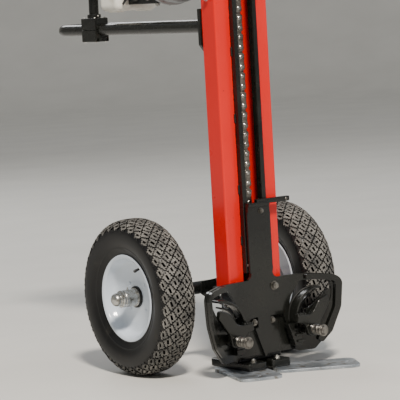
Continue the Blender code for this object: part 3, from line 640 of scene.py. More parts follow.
def make_tyre(side, word):
    """A pneumatic tyre: a turned carcass, and a block tread bent onto its crown."""
    size = bpy.context.scene.rig_sizes
    line = tread_curve()
    depth, wall, seat = size.tread_depth, 0.006, 0.1078
    outer, run = [], 0.0
    for k, (radius, across) in enumerate(line):
        if k:
            run += math.hypot(radius - line[k - 1][0], across - line[k - 1][1])
        drop = depth * max(0.0, min(1.0, (TREAD_END - run) / TREAD_FADE))
        ridge = RIDGE if any(abs(radius - r) < half for r, half in RIDGES) else 0.0
        out_r, out_a = on_section(line, run)[2:]
        outer.append((radius - drop * out_r, across - drop * out_a * 0.6 + ridge))
    inner = [(max(seat, r - wall * 1.2), max(0.0, a - wall)) for r, a in line[::5]]
    whole = ([(r, -a) for r, a in outer[:0:-1]] + outer + [(seat, 0.0330 - wall)]
             + [(max(seat, r), a) for r, a in inner[::-1] if r > seat + 0.004]
             + [(r, -a) for r, a in inner[1:] if r > seat + 0.004] + [(seat, wall - 0.0330)])
    at = (side * WHEEL.x, WHEEL.y, WHEEL.z)
    tyre = turned(whole, (side, 0, 0), at, ROUND)
    place = Matrix.Translation(at) @ turn_to((side, 0, 0))
    lobe = [(0.0134, -0.0018), (0.0134, 0.0018), (0.0092, 0.0060), (0.0078, 0.0052),
            (0.0052, 0.0078), (0.0060, 0.0092)]         # a quarter of a block's notched outline
    outline = [Matrix.Rotation(-math.pi / 2 * k, 2) @ Vector(p) for k in range(4)
               for p in lobe]
    diamond = slab([outline], 'XY', 0.0, depth + 0.0012)
    top = [f for f in diamond.faces if f.normal.z > 0.9]
    rounded = {v for v in diamond.verts if v.co.z > depth}
    bmesh.ops.inset_region(diamond, faces=top, thickness=0.0008, depth=0.0)
    # block tops take the pale tread rubber, partly dust and partly painted light; the block sides
    # and the grooves keep the black rubber
    for face in diamond.faces:
        face.material_index = 1 if face.normal.z > 0.9 else 0
    for vert in rounded:
        vert.co.z -= 0.0008
    pattern = as_mesh("tread_block", diamond)
    around = 2 * math.pi / size.blocks_round
    rows = [(0.0, 0.0), (0.0178, 0.5), (-0.0178, 0.5), (0.0352, 0.0), (-0.0352, 0.0),
            (0.0520, 0.5), (-0.0520, 0.5)]
    tread = bmesh.new()
    for across, stagger in rows:
        for k in range(size.blocks_round):
            before = set(tread.verts)
            tread.from_mesh(pattern)
            for vert in (v for v in tread.verts if v not in before):
                length = across + vert.co.x * (0.9 if abs(across) > OUTER_ROW else 1.0)
                radius, over, out_r, out_a = on_section(line, abs(length))
                lift = vert.co.z - depth - 0.0012
                if abs(across) > OUTER_ROW:
                    lift -= 0.0006
                sign = math.copysign(1.0, length)
                angle = around * (k + stagger) + vert.co.y / TYRE_RADIUS * 1.16
                r = radius + lift * out_r
                vert.co = (r * math.cos(angle), r * math.sin(angle),
                           sign * (over + lift * out_a))
    bpy.data.meshes.remove(pattern)
    bmesh.ops.transform(tread, matrix=place, verts=tread.verts)
    mesh = as_mesh("tread", tread)
    tyre.from_mesh(mesh)
    bpy.data.meshes.remove(mesh)
    for k in range(ROUND):                   # fine ribs where the sidewall meets the tread
        angle = 2 * math.pi * (k + 0.5) / ROUND
        for face in (1, -1):
            rib = block((0.1735, -0.0016, face * 0.0515 - 0.0012),
                        (0.1855, 0.0016, face * 0.0515 + 0.0008), 0.0005, 1)
            bmesh.ops.transform(rib, matrix=place @ Matrix.Rotation(angle, 4, 'Z'),
                                verts=rib.verts)
            join(tyre, rib)
    piece("tyre_finished_" + word, tyre, "wheel_" + word, ["rubber", "tread"],
          ["tyre_" + word], 28.0)


def make_rim(side, word):
    """A pressed disc rim with rolled bead flanges, and its valve."""
    at = (side * WHEEL.x, WHEEL.y, WHEEL.z)
    outside = [(0.1046, 0.0345), (0.1058, 0.0375), (0.1085, 0.0395), (0.1118, 0.0412),
               (0.1146, 0.0408), (0.1160, 0.0392), (0.1154, 0.0374), (0.1128, 0.0362),
               (0.1082, 0.0345), (0.1073, 0.0320)]
    well = [(0.1046, 0.0345), (0.1040, 0.0300), (0.1012, 0.0240), (0.0985, 0.0180),
            (0.0955, 0.0125), (0.0910, 0.0085), (0.0830, 0.0058), (0.0700, 0.0040),
            (0.0560, 0.0030), (0.0440, 0.0035), (0.0400, 0.0052), (0.0350, 0.0058),
            (0.0236, 0.0058)]
    back = [(0.0236, -0.0020), (0.0380, -0.0020), (0.0440, -0.0040), (0.0700, -0.0032),
            (0.0860, -0.0045), (0.0950, -0.0090), (0.1000, -0.0180), (0.1035, -0.0300),
            (0.1046, -0.0345)]
    flange = [(r, -a) for r, a in outside]
    profile = (well[::-1] + outside[1:] + [(0.1073, 0.0100), (0.1073, -0.0100)]
               + flange[::-1][:-1] + back[::-1])
    rim = turned(profile, (side, 0, 0), at, ROUND)
    for y, z in round_places(4, 0.0480, 45):              # plug welds round the centre disc
        spot_at = Vector((side * (WHEEL.x + 0.0046), WHEEL.y + y, WHEEL.z + z))
        join(rim, turned([(0, 0.0), (0.0045, -0.0010), (0.0036, 0.0008), (0, 0.0012)],
                         (side, 0, 0), spot_at, 14))
    angle = math.radians(118)
    foot = Vector((side * (WHEEL.x + 0.0140), WHEEL.y + 0.0930 * math.cos(angle),
                   WHEEL.z + 0.0930 * math.sin(angle)))
    lean = Vector((side, -0.45 * math.cos(angle), -0.45 * math.sin(angle))).normalized()
    join(rim, turned([(0, -0.006), (0.0058, -0.006), (0.0052, 0.002), (0.0036, 0.006),
                      (0.0032, 0.016), (0, 0.016)], lean, foot, 16), 1)
    join(rim, turned([(0, 0.016), (0.0026, 0.016), (0.0041, 0.017), (0.0041, 0.0235),
                      (0.0030, 0.0250), (0, 0.0250)], lean, foot, 12), 1)
    piece("rim_finished_" + word, rim, "wheel_" + word, ["rim", "abs"],
          ["rim_" + word], 38.0)


def make_hub(side, word):
    """A turned hub with a rubber seal, a stepped barrel, a flange bolt ring and a domed cap."""
    at = (side * WHEEL.x, WHEEL.y, WHEEL.z)
    bore = 0.0126
    barrel = [(bore, -0.050), (0.0210, -0.050), (0.0225, -0.0485), (0.0225, 0.0500),
              (0.0216, 0.0515), (0.0216, 0.0530), (0.0225, 0.0545), (0.0225, 0.0575),
              (0.0212, 0.0590), (0.0185, 0.0600), (bore, 0.0600)]
    hub = turned(barrel, (side, 0, 0), at, 48)
    dome = [(0.0, 0.0600), (0.0182, 0.0600), (0.0182, 0.0635), (0.0160, 0.0650),
            (0.0172, 0.0670), (0.0176, 0.0705), (0.0168, 0.0745), (0.0146, 0.0785),
            (0.0110, 0.0813), (0.0060, 0.0827), (0.0, 0.0830)]
    join(hub, turned(dome, (side, 0, 0), at, 40))
    seal = [(0.0226, 0.0062), (0.0282, 0.0062), (0.0290, 0.0075), (0.0284, 0.0105),
            (0.0262, 0.0118), (0.0226, 0.0112)]
    join(hub, turned(seal, (side, 0, 0), at, 48), 1)
    join(hub, turned([(0.0226, 0.0120), (0.0250, 0.0125), (0.0250, 0.0150), (0.0226, 0.0155)],
                     (side, 0, 0), at, 48))
    nipple = Vector(at) + Vector((side * 0.034, 0, 0.0225))
    join(hub, turned([(0, -0.001), (0.0030, -0.001), (0.0030, 0.002), (0.0018, 0.003),
                      (0.0022, 0.0055), (0.0010, 0.0070), (0, 0.0070)], (0, 0, 1), nipple, 12))
    piece("hub_finished_" + word, hub, "wheel_" + word, ["zinc", "rubber"],
          ["hub_" + word], 30.0)


class RIG_OT_wheels(bpy.types.Operator):
    """Build both wheels: tyre, rim and hub"""
    bl_idname = "rig.wheels"
    bl_label = "Wheels"

    def execute(self, context):
        for side, word in SIDES:
            make_tyre(side, word)
            make_rim(side, word)
            make_hub(side, word)
        return {'FINISHED'}


# ---------------------------------------------------------------- chain drive
def link_plate(long, height, thick):
    """A waisted link plate, its pin holes filled by the pins."""
    end, waist = height / 2, height * 0.36
    points = []
    for side in (1, -1):
        for k in range(9):
            angle = math.radians(-70 + 140 * k / 8) + (0 if side > 0 else math.pi)
            points.append(Vector((side * long / 2 + end * math.cos(angle), end * math.sin(angle))))
        points.append(Vector((0.0, side * waist)))
    return slab([points], 'XY', -thick / 2, thick, 0.0006, 1)


def chain_route():
    """Pin centres round both sprockets, one pitch apart, starting at the foot's right side."""
    places = [(0.0, IDLER.z + PITCH * k) for k in range(LINKS_BETWEEN + 1)]
    step = 2 * math.pi / TEETH
    places += [(HEAD.x + PITCH_RADIUS * math.cos(step * k), HEAD.z + PITCH_RADIUS
                * math.sin(step * k)) for k in range(1, TEETH // 2)]
    places += [(2 * HEAD.x, HEAD.z - PITCH * k) for k in range(LINKS_BETWEEN + 1)]
    places += [(IDLER.x - PITCH_RADIUS * math.cos(step * k), IDLER.z - PITCH_RADIUS
                * math.sin(step * k)) for k in range(1, TEETH // 2)]
    return [Vector((x, CHAIN_Y, z)) for x, z in places]


def make_chain():
    thick = bpy.context.scene.rig_sizes.link_plate
    half_wide = (CHAIN_HIGH.y - CHAIN_LOW.y) / 2
    tall = CHAIN_HIGH.z - CHAIN_LOW.z - (HEAD.z - IDLER.z) - 2 * PITCH_RADIUS
    pins = chain_route()
    wide_plate = link_plate(PITCH, tall * 0.96, thick)
    slim_plate = link_plate(PITCH, tall * 0.90, thick)
    meshes = [as_mesh("link", plate) for plate in (wide_plate, slim_plate)]
    outer_y, inner_y = half_wide - 0.0022 - thick / 2, half_wide - 0.0025 - thick * 1.5
    chain = bmesh.new()
    for k, start in enumerate(pins):
        end = pins[(k + 1) % len(pins)]
        inner = k % 2
        along = (end - start).normalized()
        turn = Matrix((along, Vector((0, 1, 0)).cross(along) * -1, Vector((0, 1, 0)))).transposed()
        for face in (-1, 1):
            y = (inner_y if inner else outer_y) * face
            before = set(chain.verts)
            chain.from_mesh(meshes[inner])
            fresh = [v for v in chain.verts if v not in before]
            bmesh.ops.transform(chain, verts=fresh, matrix=Matrix.Translation(
                (start + end) / 2 + Vector((0, y, 0))) @ turn.to_4x4())
        join(chain, turned([(0, -half_wide), (0.0044, -half_wide), (0.0056, 0.0010 - half_wide),
                            (0.0056, half_wide - 0.0010), (0.0044, half_wide), (0, half_wide)],
                           (0, 1, 0), start, 10), 1)
        roller = inner_y - thick / 2 - 0.0004
        join(chain, turned([(0.0057, -roller), (0.0070, -roller), (0.0079, -roller + 0.0008),
                            (0.0079, roller - 0.0008), (0.0070, roller), (0.0057, roller)],
                           (0, 1, 0), start, 14), 1)
    for mesh in meshes:
        bpy.data.meshes.remove(mesh)
    bmesh.ops.recalc_face_normals(chain, faces=chain.faces)
    piece("roller_chain", chain, "frame", ["chain", "pin"], ["drive_chain"])


def toothed_disc(at, half_thick, first):
    """A sprocket's disc, with a rounded seat for each roller."""
    seat, tip, points = 0.0082, PITCH_RADIUS + 0.0085, []
    step = 2 * math.pi / TEETH
    for k in range(TEETH):
        angle = first + step * k
        centre = Vector((PITCH_RADIUS * math.cos(angle), PITCH_RADIUS * math.sin(angle)))
        for n in range(7):
            turn = angle + math.pi + math.radians(62 - 124 * n / 6)
            points.append(centre + Vector((math.cos(turn), math.sin(turn))) * seat)
        for share in (0.36, 0.46, 0.54, 0.64):
            reach = tip - (0.0028 if share in (0.36, 0.64) else 0.0)
            points.append(Vector((math.cos(angle + step * share),
                                  math.sin(angle + step * share))) * reach)
    shape = slab([points], 'XZ', at.y - half_thick, half_thick * 2, 0.0008, 2)
    bmesh.ops.translate(shape, verts=shape.verts, vec=(at.x, 0, at.z))
    return shape


def make_sprockets():
    at = Vector((HEAD.x, CHAIN_Y, HEAD.z))
    low, high = spot("head_sprocket")
    head = toothed_disc(at, 0.0055, 0.0)
    join(head, bar((at.x, low.y, at.z), (at.x, low.y + 0.006, at.z), 0.017, 32, 0.001))
    join(head, bar((at.x, at.y + 0.005, at.z), (at.x, at.y + 0.014, at.z), 0.019, 32, 0.001))
    join(head, bar((at.x, at.y + 0.013, at.z), (at.x, high.y, at.z), 0.0124, 28, 0.001), 1)
    join(head, block((at.x - 0.002, high.y - 0.018, at.z + 0.010),
                     (at.x + 0.002, high.y, at.z + 0.0138), 0.0004), 1)
    join(head, hexagon((at.x, low.y, at.z), (0, 1, 0), 0.013, 0.001), 1)
    piece("head_sprocket_toothed", head, "head_sprocket", ["chain", "pin"],
          ["head_sprocket"])
    at = Vector((IDLER.x, CHAIN_Y, IDLER.z))
    low, high = spot("foot_idler")
    foot = toothed_disc(at, 0.0055, 0.0)
    join(foot, bar((at.x, low.y, at.z), (at.x, at.y + 0.012, at.z), 0.018, 32, 0.001))
    join(foot, bar((at.x, at.y + 0.011, at.z), (at.x, high.y, at.z), 0.0079, 24, 0.0006), 1)
    piece("foot_idler_toothed", foot, "foot_idler", ["chain", "pin"],
          ["foot_idler"])


class RIG_OT_chain(bpy.types.Operator):
    """Build the roller chain and its two sprockets"""
    bl_idname = "rig.chain"
    bl_label = "Chain drive"

    def execute(self, context):
        make_chain()
        make_sprockets()
        return {'FINISHED'}


# ---------------------------------------------------------------- mast and base
STITCHES = (0.335, 0.478, 0.655, 0.838, 1.015)      # heights of the rails' stitch welds


def make_mast():
    wall, half, depth = 0.005, MAST_HIGH.x, MAST_HIGH.y
    outline = [(-half, 0, 0.0060), (-half, depth, 0.0060), (half, depth, 0.0060),
               (half, 0, 0.0060), (SLOT_EDGE, 0, 0), (SLOT_EDGE, wall, 0),
               (half - wall, wall, 0.0015), (half - wall, depth - wall, 0.0015),
               (wall - half, depth - wall, 0.0015), (wall - half, wall, 0.0015),
               (-SLOT_EDGE, wall, 0), (-SLOT_EDGE, 0, 0)]
    mast = slab([arcs(outline, 10.0)], 'XY', MAST_LOW.z, MAST_HIGH.z - MAST_LOW.z, 0.0007, 2)
    mast = carve(mast, bar((HEAD.x, 0.050, HEAD.z), (HEAD.x, 0.070, HEAD.z), 0.014, 40))
    piece("mast_finished", mast, "frame", ["red"], ["mast_channel"], 30.0)
    bead = bpy.context.scene.rig_sizes.bead
    for side, word in SIDES:
        low, high = spot("guide_rail_" + word)
        rail = block(low, high, 0.0016, 3)
        edge = side * (SLOT_EDGE + 0.0004)
        for k, height in enumerate(STITCHES):
            shift = 0.012 if side > 0 else -0.009 * (k % 2)
            weld(rail, [(edge, -0.0006, height + shift), (edge, -0.0006, height + shift + 0.024)],
                 bead, 1)
        for height in (low.z + 0.020, high.z - 0.020):
            inside = side * 0.0318
            screw(rail, (inside, low.y, height), (0, -1, 0), 0.0042, 2)
        piece("rail_finished_" + word, rail, "frame",
              ["black", "weld", "zinc"], ["guide_rail_" + word])
    low, high = spot("mast_top_cap")
    cap = slab([arcs(rectangle(low, high, 0.010))], 'XY', low.z, high.z - low.z, 0.0022, 3)
    for x in (-0.066, 0.066):
        for y in (0.010, 0.046):
            screw(cap, (x, y, high.z - 0.0014), (0, 0, 1), 0.0052, 1)
    piece("mast_cap_finished", cap, "frame", ["black", "zinc"], ["mast_top_cap"])


def make_base():
    low, high = spot("mast_foot")
    wall = 0.006
    section, hollow = rectangle(low, high, 0.007), rectangle(low, high, 0.002, grow=-wall)
    foot = slab([arcs(section), arcs(hollow)], 'XY', low.z, high.z - low.z, 0.0008, 2)
    for y in (low.y - 0.0004, high.y + 0.0004):
        weld(foot, [(low.x + 0.006, y, low.z + 0.0026), (high.x - 0.006, y, low.z + 0.0026)],
             0.0060, 1)
    for side in (-1, 1):
        x = side * (high.x + 0.0002)
        for height in (0.085, 0.180):
            bolt(foot, (x, middle("mast_foot").y, height), (side, 0, 0), 0.015, 0.007, 2)
    piece("mast_foot_finished", foot, "frame", ["black", "weld", "zinc"],
          ["mast_foot"])
    for side, word in SIDES:
        low, high = spot("foot_pad_" + word)
        pad = slab([arcs(rectangle(low, high, 0.009, 0.012))], 'XY', low.z, high.z - low.z,
                   0.0028, 3)
        for y in (low.y + 0.022, high.y - 0.026):
            bolt(pad, (middle("foot_pad_" + word).x, y, high.z - 0.0003), (0, 0, 1), 0.013,
                 0.006, 1)
        weld(pad, [(low.x + 0.008, low.y + 0.0006, low.z + 0.0020),
                   (high.x - 0.008, low.y + 0.0006, low.z + 0.0020)], 0.0050, 2)
        piece("foot_pad_finished_" + word, pad, "frame",
              ["black", "zinc", "weld"], ["foot_pad_" + word])
    long, wide, corner = 0.225, 0.118, 0.024
    for word, angle, centre in (("left", -16.0, (-0.061, -0.028)),
                                ("right", 62.0, (0.118, -0.085))):
        far = Vector((wide / 2, long / 2))
        ends = rectangle(-far, far, corner)
        spin = Matrix.Rotation(math.radians(angle), 2)
        hole = [spin @ p + Vector(centre) for p in circle(0, -long / 2 + 0.026, 0.0065, 28)]
        outline = [spin @ p + Vector(centre) for p in arcs(ends, 8.0)]
        thick = spot("ground_plate_" + word)[1].z
        plate = slab([outline, hole], 'XY', 0.0, thick, 0.0013, 3)
        piece("ground_plate_finished_" + word, plate, "frame", ["plate"],
              ["ground_plate_" + word])


def make_axle():
    low, high = spot("axle_bracket")
    centre = middle("axle_shaft")
    web = [(low.y, 0.170, 0.001), (low.y, 0.244, 0.004), (0.105, 0.244, 0.010),
           (centre.y - 0.0175, 0.226, 0.004), (centre.y - 0.0175, 0.190, 0.004),
           (0.105, 0.170, 0.010)]
    window = [(0.092, 0.190, 0.006), (0.092, 0.224, 0.006), (0.140, 0.216, 0.010),
              (0.160, 0.207, 0.004), (0.140, 0.198, 0.010)]
    bracket = slab([arcs(web), arcs(window)], 'YZ', low.x, 0.008, 0.0012)
    join(bracket, slab([arcs(web), arcs(window)], 'YZ', high.x - 0.008, 0.008, 0.0012))
    join(bracket, block((low.x, low.y, 0.168), (high.x, low.y + 0.007, 0.2445), 0.0015))
    join(bracket, block((low.x + 0.006, centre.y - 0.060, 0.2040),
                        (high.x - 0.006, centre.y - 0.0180, 0.2120), 0.0010))
    for x in (low.x - 0.0002, high.x + 0.0002):
        weld(bracket, [(x, low.y + 0.008, 0.174), (x, low.y + 0.008, 0.240)], 0.0055, 1)
        weld(bracket, [(x, centre.y - 0.0185, 0.192), (x, centre.y - 0.0185, 0.224)], 0.0055, 1)
    for side in (-1, 1):
        for height in (0.180, 0.234):
            bolt(bracket, (side * 0.022, low.y + 0.0068, height), (0, 1, 0), 0.012, 0.006, 2)
    piece("axle_bracket_finished", bracket, "frame", ["black", "weld", "zinc"],
          ["axle_bracket"])
    thick, thin, shoulder, end = 0.0172, 0.012, 0.166, 0.288
    tube = [(0, -shoulder), (thick - 0.001, -shoulder), (thick, -shoulder + 0.001),
            (thick, shoulder - 0.001), (thick - 0.001, shoulder), (0, shoulder)]
    axle = turned(tube, (1, 0, 0), centre, 40)
    for side in (-1, 1):
        out = Vector((side, 0, 0))
        journal = [(0, shoulder), (thin, shoulder), (thin, end - 0.001), (thin - 0.001, end),
                   (0, end)]
        join(axle, turned(journal, out, (0, centre.y, centre.z), 32), 1)
        washer = [(thin, shoulder + 0.0004), (0.0215, shoulder + 0.0004),
                  (0.0220, shoulder + 0.0009), (0.0220, shoulder + 0.0031),
                  (0.0215, shoulder + 0.0036), (thin, shoulder + 0.0036)]
        join(axle, turned(washer, out, (0, centre.y, centre.z), 40), 1)
        collar = [(thick, shoulder - 0.026), (0.0210, shoulder - 0.025),
                  (0.0210, shoulder - 0.008), (thick, shoulder - 0.007)]
        join(axle, turned(collar, out, (0, centre.y, centre.z), 40), 1)
        screw(axle, (side * (shoulder - 0.0165), centre.y, centre.z + 0.0208), (0, 0, 1),
              0.0038, 1)
    piece("axle_finished", axle, "frame", ["black", "zinc"], ["axle_shaft"])


class RIG_OT_frame(bpy.types.Operator):
    """Build the mast with its rails and cap, the base and the axle"""
    bl_idname = "rig.frame"
    bl_label = "Mast, base and axle"

    def execute(self, context):
        make_mast()
        make_base()
        make_axle()
        return {'FINISHED'}


# ---------------------------------------------------------------- carriage
def bend_forward(x):
    """How far the carriage plate has bent forward at a distance x from the middle."""
    share = (abs(x) - WING_START) / (WING_HALF - WING_START)
    return WING_REACH * max(0.0, share) ** 1.5


def bend(shape, cuts=18):
    for side in (-1, 1):
        for k in range(cuts):
            x = WING_START + (WING_HALF - WING_START) * k / cuts
            bmesh.ops.bisect_plane(shape, geom=shape.verts[:] + shape.edges[:] + shape.faces[:],
                                   plane_co=(side * x, 0, 0), plane_no=(1, 0, 0), dist=1e-6)
    for vert in shape.verts:
        vert.co.y -= bend_forward(vert.co.x)


def both(corners, side):
    """Outline corners for the right side, mirrored for the left."""
    return corners if side > 0 else [(-x, y, r) for x, y, r in reversed(corners)]


def make_carriage_plate():
    right = [(0.035, CARRIAGE_TOP, 0.004), (0.035, 0.2445, 0.016), (0.150, 0.2435, 0.050),
             (0.2205, 0.234, 0.026), (0.214, 0.150, 0.060), (0.190, 0.085, 0.020),
             (0.150, 0.040, 0.014), (0.100, 0.040, 0.012), (0.062, 0.1454, 0.006),
             (0.0206, 0.1454, 0.001), (0.0206, 0.1186, 0.001), (0.031, 0.116, 0.002)]
    hole = [(0.118, 0.227, 0.012), (0.088, 0.186, 0.050), (0.079, 0.132, 0.012),
            (0.168, 0.128, 0.014), (0.196, 0.170, 0.050), (0.200, 0.224, 0.020)]
    outline = arcs(right + [(0.0, 0.034, 0.003)] + both(right, -1), 9.0)
    holes = [arcs(both(hole, side), 9.0) for side in (-1, 1)]
    plate = slab([outline] + holes, 'XZ', PLATE_FRONT, PLATE_THICK, 0.0022, 3, bend)
    behind = [(-0.112, 0.044, 0.012), (-0.112, 0.132, 0.010), (-0.070, 0.158, 0.010),
              (0.070, 0.158, 0.010), (0.112, 0.132, 0.010), (0.112, 0.044, 0.012)]
    join(plate, slab([arcs(behind)], 'XZ', PLATE_FRONT + PLATE_THICK - 0.0004, 0.0040, 0.0010))
    for side in (-1, 1):
        centre, radius = Vector((side * 0.160, 0.130)), 0.0790
        turns = [math.radians(a) for a in range(84, 193, 6)]
        arc = [Vector((side * math.cos(a), math.sin(a))) for a in turns]
        wall = [centre + p * radius for p in arc] + [centre + p * (radius - 0.0065)
                                                     for p in reversed(arc)]
        join(plate, slab([wall], 'XZ', PLATE_FRONT - 0.0310, 0.0330, 0.0018, 2))
        inner = [centre + p * (radius - 0.0190) for p in arc[3:]] + [
            centre + p * (radius - 0.0235) for p in reversed(arc[3:])]
        join(plate, slab([inner], 'XZ', PLATE_FRONT - 0.0150, 0.0260, 0.0012, 2))
        apron = [(0.150, 0.124, 0.004), (0.174, 0.122, 0.006), (0.207, 0.160, 0.008),
                 (0.207, 0.197, 0.004), (0.188, 0.197, 0.010), (0.170, 0.168, 0.012),
                 (0.140, 0.152, 0.010), (0.128, 0.124, 0.004)]
        join(plate, slab([arcs(both(apron, side))], 'XZ', PLATE_FRONT + 0.0030, 0.0055, 0.0012,
                         2, bend))
        web = [(0.0840, 0.0560, 0.004), (0.0700, 0.0980, 0.006), (0.0620, 0.1180, 0.003),
               (0.0930, 0.1180, 0.004), (0.1060, 0.0860, 0.006), (0.1080, 0.0560, 0.004)]
        join(plate, slab([arcs(both(web, side))], 'XZ', PLATE_FRONT - 0.0200, 0.0210, 0.0025, 3))
        for k in range(3):
            height = 0.0660 + 0.0170 * k
            rib = sorted((side * (0.0890 - 0.005 * k), side * (0.1120 - 0.005 * k)))
            join(plate, block((rib[0], PLATE_FRONT - 0.0245, height),
                              (rib[1], PLATE_FRONT - 0.0190, height + 0.0065), 0.0014))
        weld(plate, [(side * 0.0356, PLATE_FRONT + 0.0020, 0.262 + 0.010 * k) for k in range(17)],
             0.0048, 1)
        bead = [centre + Vector((side * math.cos(a), math.sin(a))) * (radius + 0.0012)
                for a in (math.radians(n) for n in range(100, 190, 3))]
        weld(plate, [(p.x, PLATE_FRONT - bend_forward(p.x) - 0.0006, p.y) for p in bead],
             0.0046, 1)
        bolt(plate, (side * 0.0290, PLATE_FRONT + PLATE_THICK * 0.55, 0.1320), (0, -1, 0),
             0.0120, 0.0050, 2)
    piece("carriage_plate_finished", plate, "carriage",
          ["black", "weld", "bolt"], ["carriage_plate"], 34.0)


def make_wing_rims():
    for side, word in SIDES:
        lip = [(0.150, 0.2425, 0.045), (0.2195, 0.233, 0.025), (0.213, 0.150, 0.060),
               (0.189, 0.086, 0.020), (0.163, 0.057, 0.006), (0.151, 0.069, 0.006),
               (0.175, 0.097, 0.016), (0.198, 0.150, 0.060), (0.203, 0.2195, 0.012),
               (0.150, 0.2275, 0.040), (0.128, 0.2275, 0.006), (0.128, 0.2425, 0.006)]
        thick = 0.0123
        rim = slab([arcs(both(lip, side), 8.0)], 'XZ', PLATE_FRONT - thick, thick, 0.0052, 4,
                   bend)
        piece("wing_rim_finished_" + word, rim, "carriage", ["black"],
              ["wing_rim_" + word], 50.0)


def make_carriage_top():
    low, high = spot("chain_anchor")
    anchor = block(low, high, 0.0025, 3)
    for height in (low.z + 0.014, high.z - 0.014):
        for x in (-0.009, 0.009):
            screw(anchor, (x, high.y - 0.0003, height), (0, 1, 0), 0.0036, 1)
    piece("chain_anchor_finished", anchor, "carriage", ["chain", "zinc"],
          ["chain_anchor"])
    low, high = spot("striker_bar")
    striker = block(low, high, 0.0022, 3)
    join(striker, block((-0.0345, PLATE_FRONT - 0.0040, CARRIAGE_TOP - 0.0040),
                        (0.0345, -0.0130, CARRIAGE_TOP + 0.0060), 0.0016))
    weld(striker, [(-0.002, PLATE_FRONT - 0.0001, CARRIAGE_TOP + 0.0008),
                   (0.034, PLATE_FRONT - 0.0001, CARRIAGE_TOP + 0.0008)], 0.0042, 1)
    bolt(striker, (0.006, PLATE_FRONT + 0.0002, CARRIAGE_TOP - 0.0165), (0, -1, 0), 0.0105,
         0.0052, 2)
    join(striker, turned([(0, 0), (0.0040, 0), (0.0040, 0.0012), (0.0028, 0.0022), (0, 0.0022)],
                         (0, -1, 0), (0.092, low.y + 0.0002, (low.z + high.z) / 2), 20), 2)
    piece("striker_finished", striker, "carriage", ["black", "weld", "bolt"],
          ["striker_bar"])
    nut = middle("plate_bolt")
    shape = bmesh.new()
    bolt(shape, (nut.x, PLATE_FRONT - 0.0001, nut.z), (0, -1, 0), 0.0165, 0.0072)
    piece("plate_bolt_finished", shape, "carriage", ["bolt"], ["plate_bolt"])
    for side, word in SIDES:
        low, high = spot("guide_shoe_" + word)
        section = [(0.0180, low.y, 0), (0.0180, high.y, 0.002), (0.0450, high.y, 0.0015),
                   (0.0450, 0.0104, 0.0015), (0.0235, 0.0104, 0.0020), (0.0235, low.y, 0)]
        shoe = slab([arcs(both(section, side))], 'XY', low.z, high.z - low.z, 0.0006, 2)
        for height in (low.z + 0.025, high.z - 0.025):
            bolt(shoe, (side * 0.0338, high.y - 0.0002, height), (0, 1, 0), 0.0080, 0.0040)
        piece("guide_shoe_finished_" + word, shoe, "carriage", ["zinc"],
              ["guide_shoe_" + word])


def make_jaws():
    for side, word in SIDES:
        low, high = spot("jaw_" + word)
        hook = [(0.108, 0.082, 0.012), (0.142, 0.084, 0.016), (0.147, 0.118, 0.020),
                (0.182, 0.166, 0.010), (0.178, 0.188, 0.008), (0.146, 0.176, 0.030),
                (0.121, 0.140, 0.026), (0.074, 0.142, 0.005), (0.070, 0.122, 0.004),
                (0.096, 0.118, 0.016)]
        jaw = slab([arcs(both(hook, side), 9.0), circle(side * PIVOT.x, PIVOT.z, 0.0078, 28)],
                   'XZ', low.y, high.y - low.y, 0.0026, 3)
        join(jaw, turned([(0.0080, 0.0), (0.0150, 0.0), (0.0150, 0.0020), (0.0138, 0.0032),
                          (0.0080, 0.0032)], (0, -1, 0), (side * PIVOT.x, low.y, PIVOT.z), 32))
        for k in range(4):                              # gripping teeth along the nose
            x = side * (0.0755 + 0.0078 * k)
            join(jaw, bar((x, low.y + 0.0016, 0.1425), (x, high.y - 0.0016, 0.1425), 0.0030, 8))
        piece("jaw_finished_" + word, jaw, "jaw_" + word, ["black"],
              ["jaw_" + word], 34.0)
        front = spot("pivot_bolt_" + word)[0].y
        at = Vector((side * PIVOT.x, 0.0, PIVOT.z))
        shaft, disc, head = 0.0070, 0.0160, front + 0.008
        back = PLATE_FRONT - bend_forward(PIVOT.x + 0.014) + 0.0010
        profile = [(0, front), (0.0062, front), (0.0070, front + 0.0010), (0.0070, head - 0.0045),
                   (0.0112, head - 0.0045), (0.0120, head - 0.0035), (disc - 0.0006, head - 0.0033),
                   (disc, head - 0.0026), (disc, head - 0.0004), (disc - 0.0006, head),
                   (shaft, head), (shaft, high.y + 0.0008), (0.0134, high.y + 0.0008),
                   (0.0140, high.y + 0.0016), (0.0140, back), (0, back)]
        pin = turned(profile, (0, 1, 0), at, 40)
        thread = [at + Vector((0.0070 * math.cos(a), front + 0.0008 + 0.0026 * a / 12.6,
                               0.0070 * math.sin(a))) for a in (k * 12.6 / 48 for k in range(49))]
        join(pin, sweep(thread, 0.0005, 4))
        join(pin, hexagon(at + Vector((0, head - 0.0042, 0)), (0, -1, 0), 0.0200, 0.0034))
        piece("pivot_pin_finished_" + word, pin, "carriage", ["bolt"],
              ["pivot_bolt_" + word])
        low, high = spot("pivot_spring_" + word)
        turns, wire = 5, 0.0022
        near, far = high.y - wire, low.y + wire
        coil = (high.x - low.x) / 2 - wire
        count = turns * 20
        route = [at + Vector((coil * math.cos(2 * math.pi * k / 20),
                              near + (far - near) * k / count,
                              coil * math.sin(2 * math.pi * k / 20))) for k in range(count + 1)]
        piece("pivot_spring_finished_" + word, sweep(route, wire, 8), "carriage",
              ["bolt"], ["pivot_spring_" + word])


class RIG_OT_carriage(bpy.types.Operator):
    """Build the sliding carriage: plate, wing rims, shoes, striker, jaws, pins and springs"""
    bl_idname = "rig.carriage"
    bl_label = "Carriage"

    def execute(self, context):
        make_carriage_plate()
        make_wing_rims()
        make_carriage_top()
        make_jaws()
        return {'FINISHED'}


